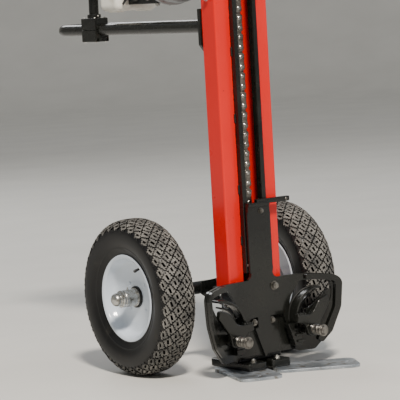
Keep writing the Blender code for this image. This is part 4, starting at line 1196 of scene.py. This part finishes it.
# ---------------------------------------------------------------- rear loop and handle
def make_loop():
    low, high = spot("loop_plate")
    corners = [(-high.x, 0.862, 0.001), (-high.x, high.z, 0.002), (high.x, high.z, 0.002),
               (high.x, 0.862, 0.001), (0.075, low.z, 0.004), (-0.075, low.z, 0.004)]
    plate = slab([arcs(corners)], 'XZ', low.y, high.y - low.y, 0.0012)
    for x in (-0.026, 0.026):
        for height in (low.z + 0.020, high.z - 0.020):
            bolt(plate, (x, high.y - 0.0003, height), (0, 1, 0), 0.013, 0.0065, 1)
    for side in (-1, 1):
        ring = [(side * LOOP_HALF + (TUBE + 0.0012) * math.cos(a), high.y + 0.0012,
                 LOOP_Z + (TUBE + 0.0012) * math.sin(a)) for a in
                (2 * math.pi * k / 44 for k in range(45))]
        weld(plate, ring, 0.0052, 2)
    piece("loop_plate_finished", plate, "frame", ["black", "zinc", "weld"],
          ["loop_plate"])
    end = spot("rear_loop")[1].y - TUBE
    turn_y = end - LOOP_HALF
    points = [(-LOOP_HALF, high.y + 0.0004, LOOP_Z)]
    points += [(-LOOP_HALF, high.y + (turn_y - high.y) * k / 12, LOOP_Z) for k in range(1, 12)]
    points += [(-LOOP_HALF * math.cos(a), turn_y + LOOP_HALF * math.sin(a), LOOP_Z)
               for a in (math.pi * k / 32 for k in range(33))]
    points += [(LOOP_HALF, high.y + (turn_y - high.y) * k / 12, LOOP_Z)
               for k in range(11, 0, -1)]
    points.append((LOOP_HALF, high.y + 0.0004, LOOP_Z))
    piece("rear_loop_finished", sweep(points, TUBE, 28), "frame", ["black"],
          ["rear_loop"])
    low, high = spot("head_bracket")
    inner = high.x - 0.006
    wrap = [(-high.x, low.y, 0.002), (-high.x, high.y, 0.009), (high.x, high.y, 0.009),
            (high.x, low.y, 0.002), (inner, low.y, 0.001), (inner, MAST_HIGH.y + 0.0003, 0.004),
            (-inner, MAST_HIGH.y + 0.0003, 0.004), (-inner, low.y, 0.001)]
    bracket = slab([arcs(wrap)], 'XY', low.z, high.z - low.z, 0.0010)
    corner = 0.020                                # the ears' lower front corners are rounded
    for side in (-1, 1):
        trim = slab([[(low.y - 0.002, low.z - 0.002), (low.y + corner, low.z - 0.002)]
                     + [(low.y + corner - corner * math.sin(a),
                         low.z + corner - corner * math.cos(a))
                        for a in (math.pi / 2 * k / 8 for k in range(9))]
                     + [(low.y - 0.002, low.z + corner)]], 'YZ',
                    side * (high.x - 0.003) - 0.0050, 0.0100)
        bracket = carve(bracket, trim)
    bracket = carve(bracket, bar((HEAD.x, 0.055, HEAD.z), (HEAD.x, 0.082, HEAD.z), 0.014, 32))
    for side in (-1, 1):
        for height in (low.z + 0.026, low.z + 0.114, low.z + 0.202):
            bolt(bracket, (side * (high.x - 0.0002), 0.024, height), (side, 0, 0), 0.0120,
                 0.0052, 1)
    piece("head_bracket_finished", bracket, "frame", ["black", "zinc"],
          ["head_bracket"])


def make_clamp():
    for word in ("upper", "lower"):
        low, high = spot("clamp_" + word)
        half = block(low, high, 0.0022, 3)
        x, y = (low.x + high.x) / 2, (low.y + high.y) / 2
        half = carve(half, bar((x, low.y - 0.02, LOOP_Z), (x, high.y + 0.02, LOOP_Z),
                               TUBE + 0.0003, 48))
        if word == "lower":                      # a chamfered pocket under the front corner
            for face in (-1, 1):
                wedge = slab([[(low.y - 0.001, low.z - 0.001), (low.y + 0.015, low.z - 0.001),
                               (low.y - 0.001, low.z + 0.013)]], 'YZ',
                             x + face * 0.016 - 0.005, 0.010)
                half = carve(half, wedge)
        outer = high.z if word == "upper" else low.z
        up = 1 if word == "upper" else -1
        for dx in (-0.0165, 0.0165):
            for dy in (-0.027, 0.027):
                screw(half, (x + dx, y + dy, outer - up * 0.0002), (0, 0, up), 0.0038, 1)
        piece("clamp_finished_" + word, half, "frame", ["black", "zinc"],
              ["clamp_" + word], 28.0)


def make_handle():
    low, high = spot("handle_post")
    x, y = -LOOP_HALF, middle("clamp_upper").y
    radius = 0.0138
    route = smooth_route([(x, y, low.z), (x, y, 0.960), (x, y, 1.004), (x, (y + BAR.y) / 2, 1.030),
                          (x, BAR.y, 1.052), (x, BAR.y, BAR.z - 0.0130)], 8)
    post = sweep(route, radius, 24)
    join(post, turned([(radius, 0.0), (0.0185, 0.0004), (0.0192, 0.0016), (0.0192, 0.0085),
                       (0.0182, 0.0100), (radius, 0.0108)], (0, 0, 1), (x, y, low.z), 40))
    screw(post, (x, y - 0.0188, low.z + 0.0055), (0, -1, 0), 0.0032, 1)
    ring = [(x + 0.0148 * math.cos(a), BAR.y + 0.0148 * math.sin(a),
             BAR.z - 0.0136)
            for a in (2 * math.pi * k / 36 for k in range(37))]
    weld(post, ring, 0.0036, 2)
    piece("handle_post_finished", post, "frame", ["black", "zinc", "weld"],
          ["handle_post"])
    low, high = spot("handlebar")
    rod = bar((low.x, BAR.y, BAR.z), (high.x, BAR.y, BAR.z), (high.z - low.z) / 2, 36, 0.0012)
    for end, out in ((low.x, -1), (high.x, 1)):
        join(rod, turned([(0, 0), (0.0098, 0), (0.0092, 0.0010), (0, 0.0016)], (out, 0, 0),
                         (end - out * 0.0016, BAR.y, BAR.z), 28), 1)
    piece("handlebar_finished", rod, "frame", ["black", "abs"], ["handlebar"])
    for word in ("left", "right"):
        low, high = spot("handle_grip_" + word)
        at = middle("handle_grip_" + word)
        half, bore, outer = (high.x - low.x) / 2, 0.0128, (high.z - low.z) / 2
        ribs = 14
        profile = [(bore, -half), (outer - 0.0008, -half), (outer, 0.0012 - half),
                   (outer, 0.0052 - half), (outer - 0.0016, 0.0062 - half)]
        for k in range(ribs):
            a = 0.0080 - half + (2 * half - 0.0160) * k / (ribs - 1)
            waist = outer - 0.0012 - 0.0012 * math.cos(math.pi * (k / (ribs - 1) - 0.5))
            profile += [(waist - 0.0010, a - 0.0026), (waist, a - 0.0014), (waist, a + 0.0014),
                        (waist - 0.0010, a + 0.0026)]
        profile += [(outer - 0.0016, half - 0.0062), (outer, half - 0.0052),
                    (outer, half - 0.0012), (outer - 0.0008, half), (bore, half)]
        piece("grip_finished_" + word, turned(profile, (1, 0, 0), at, 40), "frame",
              ["grip"], ["handle_grip_" + word], 40.0)


def make_controls():
    low, high = spot("control_pod")
    x = -LOOP_HALF
    pod = block(low, high, 0.0042, 4)
    pod = carve(pod, bar((low.x - 0.01, BAR.y, BAR.z), (high.x + 0.01, BAR.y, BAR.z), 0.0128, 40))
    stop_low, stop_high = spot("stop_button")
    pod = carve(pod, block((stop_low.x - 0.0006, stop_low.y - 0.0006, stop_low.z - 0.0026),
                           (stop_high.x + 0.0006, stop_high.y + 0.0006, high.z + 0.01)))
    for dx in (0.007, high.x - low.x - 0.007):
        screw(pod, (low.x + dx, low.y + 0.0002, BAR.z + 0.014), (0, -1, 0), 0.0026, 1)
    join(pod, block((low.x - 0.0002, low.y - 0.0002, BAR.z - 0.0008),
                    (high.x + 0.0002, low.y + 0.0010, BAR.z + 0.0004)), 0)
    piece("control_pod_finished", pod, "frame", ["abs", "zinc"],
          ["control_pod"], 28.0)
    outline = [(x + 0.0535, 1.059, 0.003), (x + 0.0535, 1.045, 0.003), (x + 0.150, 1.038, 0.004),
               (x + 0.170, 1.027, 0.003), (x + 0.174, 1.033, 0.003), (x + 0.152, 1.045, 0.004),
               (x + 0.075, 1.053, 0.006), (x + 0.070, 1.059, 0.003)]
    low, high = spot("throttle_lever")
    lever = slab([arcs(outline)], 'XZ', low.y, high.y - low.y, 0.0017, 3)
    for k in range(6):
        place = x + 0.092 + 0.009 * k
        top = 1.0445 - 0.0007 * k
        join(lever, bar((place, low.y + 0.003, top - 0.0062), (place, high.y - 0.003,
                                                               top - 0.0062), 0.0014, 8))
    join(lever, bar((x + 0.057, low.y - 0.0008, 1.053), (x + 0.057, high.y + 0.0008, 1.053),
                    0.0030, 20, 0.0004), 1)
    piece("throttle_lever_finished", lever, "throttle_lever", ["abs", "zinc"],
          ["throttle_lever"])
    button = block(stop_low, stop_high, 0.0014, 3)
    join(button, block((stop_low.x + 0.003, stop_low.y + 0.003, stop_high.z - 0.0008),
                       (stop_high.x - 0.003, stop_high.y - 0.003, stop_high.z + 0.0003), 0.0003))
    piece("stop_button_finished", button, "stop_button", ["stop"], ["stop_button"])
    y, z = BAR.y, BAR.z
    engine = spot("recoil_cover")[0].y - 0.0003
    route = [(x + 0.035, y - 0.0204, z - 0.010), (x + 0.035, y - 0.034, z - 0.010),
             (x + 0.026, y - 0.052, z - 0.002), (x + 0.004, 0.545, 1.094),
             (x - 0.022, 0.505, 1.112), (x - 0.024, 0.465, 1.132), (x - 0.015, 0.434, 1.145),
             (x - 0.014, engine + 0.006, 1.146), (x - 0.014, engine - 0.0035, 1.146)]
    points = smooth_route(route, 8)
    cable = sweep(points, 0.0025, 12)
    for end, after, long in ((points[0], points[1], 0.0150), (points[-1], points[-2], 0.0120)):
        out = (after - end).normalized()
        join(cable, turned([(0.0, 0.0), (0.0044, 0.0), (0.0044, long * 0.45),
                            (0.0032, long * 0.55), (0.0032, long * 0.9), (0.0027, long),
                            (0.0, long)], out, end, 20), 1)
    piece("throttle_cable_finished", cable, "frame", ["cable", "zinc"],
          ["throttle_cable"])


class RIG_OT_rear(bpy.types.Operator):
    """Build the rear loop, its clamp, the handle and the controls"""
    bl_idname = "rig.rear"
    bl_label = "Rear loop and handle"

    def execute(self, context):
        make_loop()
        make_clamp()
        make_handle()
        make_controls()
        return {'FINISHED'}


# ---------------------------------------------------------------- power unit
def make_gearbox():
    low, high = spot("gearbox_housing")
    case = [(-0.088, 1.105, 0.020), (-0.088, 1.176, 0.026), (0.030, 1.176, 0.030),
            (0.068, 1.120, 0.040), (0.068, 1.004, 0.040), (-0.050, 1.004, 0.040)]
    depth = high.y - low.y
    gearbox = slab([arcs(case)], 'XZ', low.y, depth * 0.52, 0.0030, 3)
    small = [(x * 0.93 - 0.0007, 1.090 + (z - 1.090) * 0.92, r * 0.9) for x, z, r in case]
    join(gearbox, slab([arcs(small)], 'XZ', low.y + depth * 0.50, depth * 0.50, 0.0040, 3))
    for x, z in ((-0.078, 1.166), (-0.024, 1.167), (0.030, 1.164), (0.058, 1.110),
                 (0.056, 1.034), (-0.004, 1.0125), (-0.052, 1.030), (-0.078, 1.104)):
        join(gearbox, bar((x, low.y + 0.004, z), (x, low.y + depth * 0.60, z), 0.0078, 24, 0.001))
        screw(gearbox, (x, low.y + depth * 0.60 - 0.0003, z), (0, 1, 0), 0.0044, 1)
    for k in range(5):
        z = 1.044 + 0.020 * k
        join(gearbox, block((-0.060 + 0.006 * (2 - k), high.y - 0.0030, z),
                            (0.052, high.y - 0.0002, z + 0.0040), 0.0010))
    bolt(gearbox, (0.0675, low.y + depth * 0.25, 1.060), (1, 0, 0), 0.0120, 0.0050, 1)
    piece("gearbox_finished", gearbox, "frame", ["cast", "zinc"],
          ["gearbox_housing"])


def make_clutch_housing():
    low, high = spot("clutch_housing")
    at = (0, low.y, CLUTCH.z)
    long, big = high.y - low.y, (high.x - low.x) / 2
    bell = [(0.050, 0.0), (0.0548, 0.0), (0.0560, 0.0012), (0.0562, 0.0080), (0.0540, 0.0100),
            (0.0550, 0.0450), (0.0600, 0.0600), (0.0720, 0.0800), (0.0880, 0.0960),
            (0.0960, 0.1040), (0.0985, 0.1120), (0.0990, long - 0.0160), (big - 0.0008,
            long - 0.0140), (big, long - 0.0130), (big, long - 0.0008), (big - 0.0008, long),
            (0.0970, long), (0.0930, 0.1150), (0.0520, 0.0560)]
    shell = turned(bell, (0, 1, 0), at, ROUND)
    turn_at = (0, 0, CLUTCH.z)
    shell = carve(shell, *(spun(block((-0.014, low.y + 0.062, 0), (0.014, low.y + 0.094, 0.13),
                                      0.004), turn_at, 60 * k + 30) for k in range(6)))
    for k in range(12):
        rib = block((-0.0020, low.y + 0.010, 0.052), (0.0020, low.y + 0.058, 0.0605), 0.0008)
        join(shell, spun(rib, turn_at, 30 * k))
    for x, z in round_places(8, 0.0975, 22.5):
        screw(shell, (x, high.y - 0.0146, CLUTCH.z + z), (0, -1, 0), 0.0040, 1)
    join(shell, turned([(0.0, 0.110), (0.078, 0.110), (0.078, 0.146), (0.070, 0.150), (0.0, 0.150)],
                       (0, 1, 0), at, 48), 1)
    piece("clutch_housing_finished", shell, "frame", ["cast", "bolt"],
          ["clutch_housing"], 34.0)


def make_engine():
    low, high = spot("crankcase")
    case = block(low, high, 0.0080, 4)
    for side in (-1, 1):
        for k in range(4):
            z = low.z + 0.022 + 0.024 * k
            join(case, block((side * high.x - 0.0024, low.y + 0.016, z),
                             (side * high.x + 0.0024, high.y - 0.016, z + 0.0040), 0.0010))
    for x in (-0.045, 0.045):
        bolt(case, (x, (low.y + high.y) / 2, low.z + 0.0002), (0, 0, -1), 0.0110, 0.0050, 1)
    piece("crankcase_finished", case, "frame", ["abs", "zinc"], ["crankcase"])
    low, high = spot("cylinder_block")
    count, top = bpy.context.scene.rig_sizes.fins, high.z - 0.004
    cylinder = turned([(0.0, low.z), (0.0290, low.z), (0.0290, top - 0.010), (0.0240, top),
                     (0.0, top)], (0, 0, 1), (0, (low.y + high.y) / 2, 0), 40)
    gap = (top - 0.008 - low.z) / count
    for k in range(count):
        z = low.z + gap * (k + 0.5)
        inset = 0.0 if k < count - 2 else 0.006
        corners = rectangle(low, high, 0.012, grow=-inset)
        join(cylinder, slab([arcs(corners)], 'XY', z - 0.0012, 0.0024, 0.0006, 1))
    join(cylinder, block((low.x, low.y, low.z), (high.x, high.y, low.z + 0.0040), 0.0010))
    for x in (-0.024, 0.024):
        for y in (low.y + 0.016, high.y - 0.016):
            screw(cylinder, (x, y, top - 0.0110), (0, 0, 1), 0.0036, 1)
    plug = Vector((0.0, (low.y + high.y) / 2, top - 0.004))
    join(cylinder, turned([(0, 0), (0.0090, 0.0), (0.0090, 0.0030), (0.0, 0.0030)], (0, 0, 1),
                        plug, 6), 1)
    piece("cylinder_finished", cylinder, "frame", ["cast", "bolt"],
          ["cylinder_block"])
    cap = turned([(0.0, 0.0026), (0.0100, 0.0026), (0.0108, 0.0040), (0.0104, 0.0110),
                  (0.0, 0.0116)], (0, 0, 1), (plug.x, plug.y, plug.z - 0.0030), 28)
    lead = smooth_route([(0.0, plug.y, plug.z + 0.0040), (0.0, plug.y + 0.020, plug.z + 0.0040),
                         (0.006, high.y - 0.004, plug.z - 0.002),
                         (0.014, high.y + 0.004, plug.z - 0.014),
                         (0.018, high.y + 0.0065, plug.z - 0.034)], 8)
    join(cap, sweep(lead, 0.0034, 12))
    piece("spark_plug_cap", cap, "frame", ["cable"])


def make_recoil():
    low, high = spot("recoil_cover")
    at = ((low.x + high.x) / 2, low.y, (low.z + high.z) / 2)
    big = (high.x - low.x) / 2
    depth = high.y - low.y
    profile = [(0, 0.0), (big - 0.001, 0.0), (big, 0.001), (big, 0.0260), (big - 0.003, 0.0310),
               (0.0720, depth - 0.0048), (0.0680, depth - 0.0026), (0.0330, depth - 0.0010),
               (0.0310, depth - 0.0022), (0.0290, depth - 0.0022), (0.0270, depth),
               (0.0, depth)]
    cover = turned(profile, (0, 1, 0), at, ROUND)
    cover = carve(cover, *(spun(block((-0.0022, high.y - 0.0055, 0.0390),
                                      (0.0022, high.y + 0.002, 0.0640), 0.0010),
                                (at[0], 0, at[2]), 18 * k + 9) for k in range(20)))
    for across, up in round_places(4, 0.0845, 12):
        x, z = at[0] + across, at[2] + up
        join(cover, bar((x, low.y, z), (x, low.y + 0.0400, z), 0.0068, 20, 0.001))
        screw(cover, (x, low.y + 0.0396, z), (0, 1, 0), 0.0040, 1)
    piece("recoil_cover_finished", cover, "frame", ["abs", "zinc"],
          ["recoil_cover"], 30.0)
    low, high = spot("recoil_grip")
    grip = block(low, high, 0.0055, 4)
    x, z = (low.x + high.x) / 2, (low.z + high.z) / 2
    join(grip, bar((x, low.y + 0.002, z), (x, low.y - 0.0100, z), 0.0058, 20, 0.0008, 0.0044))
    join(grip, bar((x, low.y - 0.0090, z), (x, low.y - 0.0150, z), 0.0018, 12), 1)
    piece("recoil_grip_finished", grip, "frame", ["abs", "grip"],
          ["recoil_grip"])


def make_tank():
    low, high = spot("fuel_tank")
    tank = block(low, high, 0.0190, 8)
    seam = (low.z + high.z) / 2 + 0.004
    corners = rectangle(low, high, 0.020, grow=0.0010)
    join(tank, slab([arcs(corners, 8.0)], 'XY', seam - 0.0012, 0.0024, 0.0010, 2))
    for x in (-0.046, 0.046):
        join(tank, block((x - 0.011, low.y + 0.020, low.z - 0.0030), (x + 0.011, high.y - 0.030,
                                                                     low.z + 0.006), 0.0025, 3))
    cap_at = middle("fuel_cap")
    join(tank, turned([(0.0, 0.0), (0.0255, 0.0), (0.0255, 0.0006), (0.0, 0.0006)], (0, 0, 1),
                      (cap_at.x, cap_at.y, high.z - 0.0005), 40))
    hose = smooth_route([(-0.050, low.y + 0.004, low.z + 0.020),
                         (-0.056, low.y - 0.012, low.z + 0.024),
                         (-0.060, low.y - 0.034, low.z + 0.044),
                         (-0.066, low.y - 0.052, low.z + 0.090),
                         (-0.070, low.y - 0.064, low.z + 0.130),
                         (-0.072, low.y - 0.074, low.z + 0.160)], 8)
    join(tank, sweep(hose, 0.0034, 12), 1)
    piece("fuel_tank_finished", tank, "frame", ["tank", "cable"],
          ["fuel_tank"], 34.0)
    low, high = spot("fuel_cap")
    radius = (high.x - low.x) / 2
    cap = turned([(0, 0), (radius - 0.0030, 0), (radius - 0.0022, 0.0008),
                  (radius - 0.0022, 0.0150), (radius - 0.0040, 0.0176), (0.0120, 0.0180),
                  (0.0110, 0.0172), (0, 0.0172)], (0, 0, 1), (cap_at.x, cap_at.y, low.z), 48)
    for x, y in round_places(24, radius - 0.0022):
        join(cap, bar((cap_at.x + x, cap_at.y + y, low.z + 0.0016),
                      (cap_at.x + x, cap_at.y + y, low.z + 0.0148), 0.0018, 8))
    piece("fuel_cap_finished", cap, "fuel_cap", ["abs"], ["fuel_cap"])
    low, high = spot("tank_bracket")
    bracket = block(low, high, 0.0020, 3)
    for x in (-0.020, 0.020):
        bolt(bracket, (x, low.y + 0.020, low.z + 0.0002), (0, 0, -1), 0.0110, 0.0050, 1)
    piece("tank_bracket_finished", bracket, "frame", ["black", "zinc"],
          ["tank_bracket"])


def make_side_boxes():
    low, high = spot("muffler")
    muffler = block(low, high, 0.0075, 4)
    shield = high.x - 0.0004
    for k in range(6):
        z = low.z + 0.0120 + 0.0086 * k
        join(muffler, block((shield - 0.001, low.y + 0.014, z), (shield + 0.0018, high.y - 0.014,
                                                                 z + 0.0036), 0.0012))
    y = high.y - 0.018
    join(muffler, turned([(0.0050, 0.0), (0.0068, 0.0), (0.0068, 0.0090), (0.0062, 0.0096),
                          (0.0050, 0.0096)], (0, 0, -1), (high.x - 0.018, y, low.z + 0.0010), 28))
    for dy, dz in ((0.010, 0.008), (0.010, -0.008), (-0.010, 0.008), (-0.010, -0.008)):
        anchor = (high.x - 0.0001, (low.y if dy > 0 else high.y) + dy,
                  (low.z if dz > 0 else high.z) + dz)
        screw(muffler, anchor, (1, 0, 0), 0.0030, 1)
    piece("muffler_finished", muffler, "frame", ["bolt", "zinc"], ["muffler"])
    low, high = spot("air_filter_housing")
    split = low.x + 0.026
    cleaner = block((split, low.y, low.z), high, 0.0060, 3)
    join(cleaner, block(low, (split - 0.0008, high.y, high.z), 0.0075, 4))
    join(cleaner, block((split - 0.003, low.y + 0.003, low.z + 0.003),
                        (split + 0.003, high.y - 0.003, high.z - 0.003)))
    y, z = high.y - 0.0145, low.z + 0.0160
    knob = turned([(0, -0.001), (0.0120, -0.001), (0.0120, 0.0036), (0.0104, 0.0050),
                   (0, 0.0050)], (-1, 0, 0), (low.x, y, z), 36)
    join(cleaner, knob)
    for across, up in round_places(10, 0.0118):
        join(cleaner, bar((low.x + 0.0004, y + across, z + up),
                          (low.x - 0.0038, y + across, z + up), 0.0018, 8))
    for k in range(4):
        height = low.z + 0.012 + 0.008 * k
        join(cleaner, block((low.x - 0.0010, low.y + 0.008, height),
                            (low.x + 0.0020, low.y + 0.024, height + 0.0030), 0.0008))
    piece("air_filter_finished", cleaner, "frame", ["abs"],
          ["air_filter_housing"])
    low, high = spot("choke_lever")
    choke = slab([arcs([(0.345, 1.140, 0.005), (0.357, 1.140, 0.005), (0.356, 1.176, 0.005),
                        (0.346, 1.176, 0.005)])], 'YZ', low.x, high.x - low.x, 0.0010)
    screw(choke, (low.x + 0.0003, 0.351, 1.146), (-1, 0, 0), 0.0032, 1)
    piece("choke_lever_finished", choke, "choke_lever", ["abs", "zinc"],
          ["choke_lever"])
    low, high = spot("gear_selector")
    shift = [(0.104, 1.086, 0.007), (0.118, 1.086, 0.007), (0.116, 1.150, 0.004),
             (0.122, 1.156, 0.006), (0.122, 1.174, 0.006), (0.102, 1.174, 0.006),
             (0.102, 1.156, 0.006), (0.107, 1.150, 0.004)]
    lever = slab([arcs(shift)], 'YZ', low.x, high.x - low.x, 0.0014)
    join(lever, block((low.x - 0.0050, 0.1012, 1.154), (high.x + 0.0020, 0.1228, 1.1755),
                      0.0040, 4), 1)
    bolt(lever, (low.x + 0.0002, 0.111, 1.093), (-1, 0, 0), 0.0100, 0.0040)
    piece("gear_selector_finished", lever, "gear_selector", ["zinc", "grip"],
          ["gear_selector"])


class RIG_OT_engine(bpy.types.Operator):
    """Build the power unit: gearbox, clutch housing, engine, recoil starter, tank and levers"""
    bl_idname = "rig.engine"
    bl_label = "Power unit"

    def execute(self, context):
        make_gearbox()
        make_clutch_housing()
        make_engine()
        make_recoil()
        make_tank()
        make_side_boxes()
        return {'FINISHED'}


# ---------------------------------------------------------------- stage
def make_floor():
    """A pale matt studio bowl: flat floor, and a wall a long way off."""
    reach, cove, wall = 16.0, 3.0, 9.0
    profile = [(0.0, 0.0), (reach - cove, 0.0)]
    profile += [(reach - cove + cove * math.sin(a), cove - cove * math.cos(a))
                for a in (math.pi / 2 * k / 10 for k in range(1, 11))]
    profile.append((reach, wall))
    bowl = turned(profile, (0, 0, 1), (0, 0, -0.0002), 96, closed=False)
    inside = Vector((0, 0, 4))
    bmesh.ops.reverse_faces(bowl, faces=[
        f for f in bowl.faces if f.normal.dot(inside - f.calc_center_median()) < 0])
    mesh = as_mesh("studio_floor", bowl)
    mesh.shade_smooth()
    floor = show("studio_floor", mesh)
    made, tree, shader, place = blank("matt_studio_paint", {"Roughness": 0.85})
    pale = tuple(bpy.context.scene.rig_colours.backdrop)
    deeper = tuple(0.94 * c for c in pale[:3]) + (1.0,)
    tint(tree, shader, masked(tree, place, 3.0, 0.3, 0.7), pale, deeper)
    mesh.materials.append(made)


def lamp(name, at, aim, energy, size, colour):
    data = bpy.data.lights.new(name, 'AREA')
    data.energy, data.size, data.color = energy, size, linear(colour)[:3]
    made = show(name, data)
    made.location = at
    made.rotation_euler = (Vector(aim) - Vector(at)).to_track_quat('-Z', 'Y').to_euler()


def make_lights():
    aim = (0.0, 0.0, 0.5)
    lamp("key", (-2.5, -4.9, 5.8), aim, 820.0, 0.9, "#FFF6EA")
    lamp("fill", (5.0, -3.6, 2.4), aim, 70.0, 3.0, "#EAF1FF")
    lamp("back", (1.5, 5.0, 4.2), aim, 110.0, 2.6, "#FFFFFF")
    world = bpy.data.worlds.new("studio")
    world.use_nodes = True
    sky = world.node_tree.nodes["Background"]
    sky.inputs["Color"].default_value = linear("#E9EDF2")
    sky.inputs["Strength"].default_value = 0.40
    bpy.context.scene.world = world


CAMERA_AT = Vector((-3.5186, -4.7431, 1.0193))


def make_camera():
    """The camera, looking right of the rear and slightly down, and leaning a little."""
    yaw, pitch, lean = math.radians(35.27), math.radians(5.43), math.radians(3.25)
    ahead = Vector((math.sin(yaw) * math.cos(pitch), math.cos(yaw) * math.cos(pitch),
                    -math.sin(pitch)))
    right = Vector((math.cos(yaw), -math.sin(yaw), 0.0))
    down = ahead.cross(right)
    level = math.cos(lean) * right + math.sin(lean) * down
    below = math.cos(lean) * down - math.sin(lean) * right
    data = bpy.data.cameras.new("view")
    data.lens = bpy.context.scene.rig_sizes.lens
    data.sensor_width = 36.0
    data.clip_end = 100.0
    made = show("view", data)
    axes = Matrix((level, -below, -ahead)).transposed().to_4x4()
    made.matrix_world = Matrix.Translation(CAMERA_AT + ORIGIN) @ axes
    bpy.context.scene.camera = made


class RIG_OT_stage(bpy.types.Operator):
    """Build the floor, the lights and the camera"""
    bl_idname = "rig.stage"
    bl_label = "Stage"

    def execute(self, context):
        make_floor()
        make_lights()
        make_camera()
        return {'FINISHED'}


class RIG_OT_finishes(bpy.types.Operator):
    """Make every finish and put one on each CAD part that stays in view"""
    bl_idname = "rig.finishes"
    bl_label = "Finishes"

    def execute(self, context):
        mix_finishes()
        by_slot = {"red_paint": "red", "black_paint": "black", "bright_steel": "zinc",
                   "chain_steel": "chain", "plate_steel": "plate", "white_rim": "rim",
                   "tyre_rubber": "rubber", "white_plastic": "tank", "black_plastic": "abs",
                   "red_plastic": "stop", "cast_aluminium": "cast", "grip_rubber": "grip"}
        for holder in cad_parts.values():
            for slot in holder.material_slots:
                slot.material = FINISH[by_slot[slot.material.name.split(".")[0]]]
        return {'FINISHED'}


class RIG_PT_panel(bpy.types.Panel):
    """Builders for the rig's finished pieces"""
    bl_label = "Splitting Rig"
    bl_idname = "RIG_PT_panel"
    bl_space_type = 'VIEW_3D'
    bl_region_type = 'UI'
    bl_category = "Splitting Rig"

    def draw(self, context):
        for group in (context.scene.rig_colours, context.scene.rig_sizes):
            for key in group.__annotations__:
                self.layout.prop(group, key)
        for builder in BUILDERS:
            self.layout.operator(builder.bl_idname)


BUILDERS = (RIG_OT_stage, RIG_OT_finishes, RIG_OT_wheels, RIG_OT_chain, RIG_OT_frame,
            RIG_OT_carriage, RIG_OT_rear, RIG_OT_engine)
CLASSES = (RigColours, RigSizes, *BUILDERS, RIG_PT_panel)


def register():
    for cls in CLASSES:
        bpy.utils.register_class(cls)
    bpy.types.Scene.rig_colours = PointerProperty(type=RigColours)
    bpy.types.Scene.rig_sizes = PointerProperty(type=RigSizes)


def unregister():
    del bpy.types.Scene.rig_sizes
    del bpy.types.Scene.rig_colours
    for cls in reversed(CLASSES):
        bpy.utils.unregister_class(cls)


def main():
    register()
    for builder in BUILDERS:
        group, name = builder.bl_idname.split(".")
        getattr(getattr(bpy.ops, group), name)()


if __name__ == "__main__":
    main()
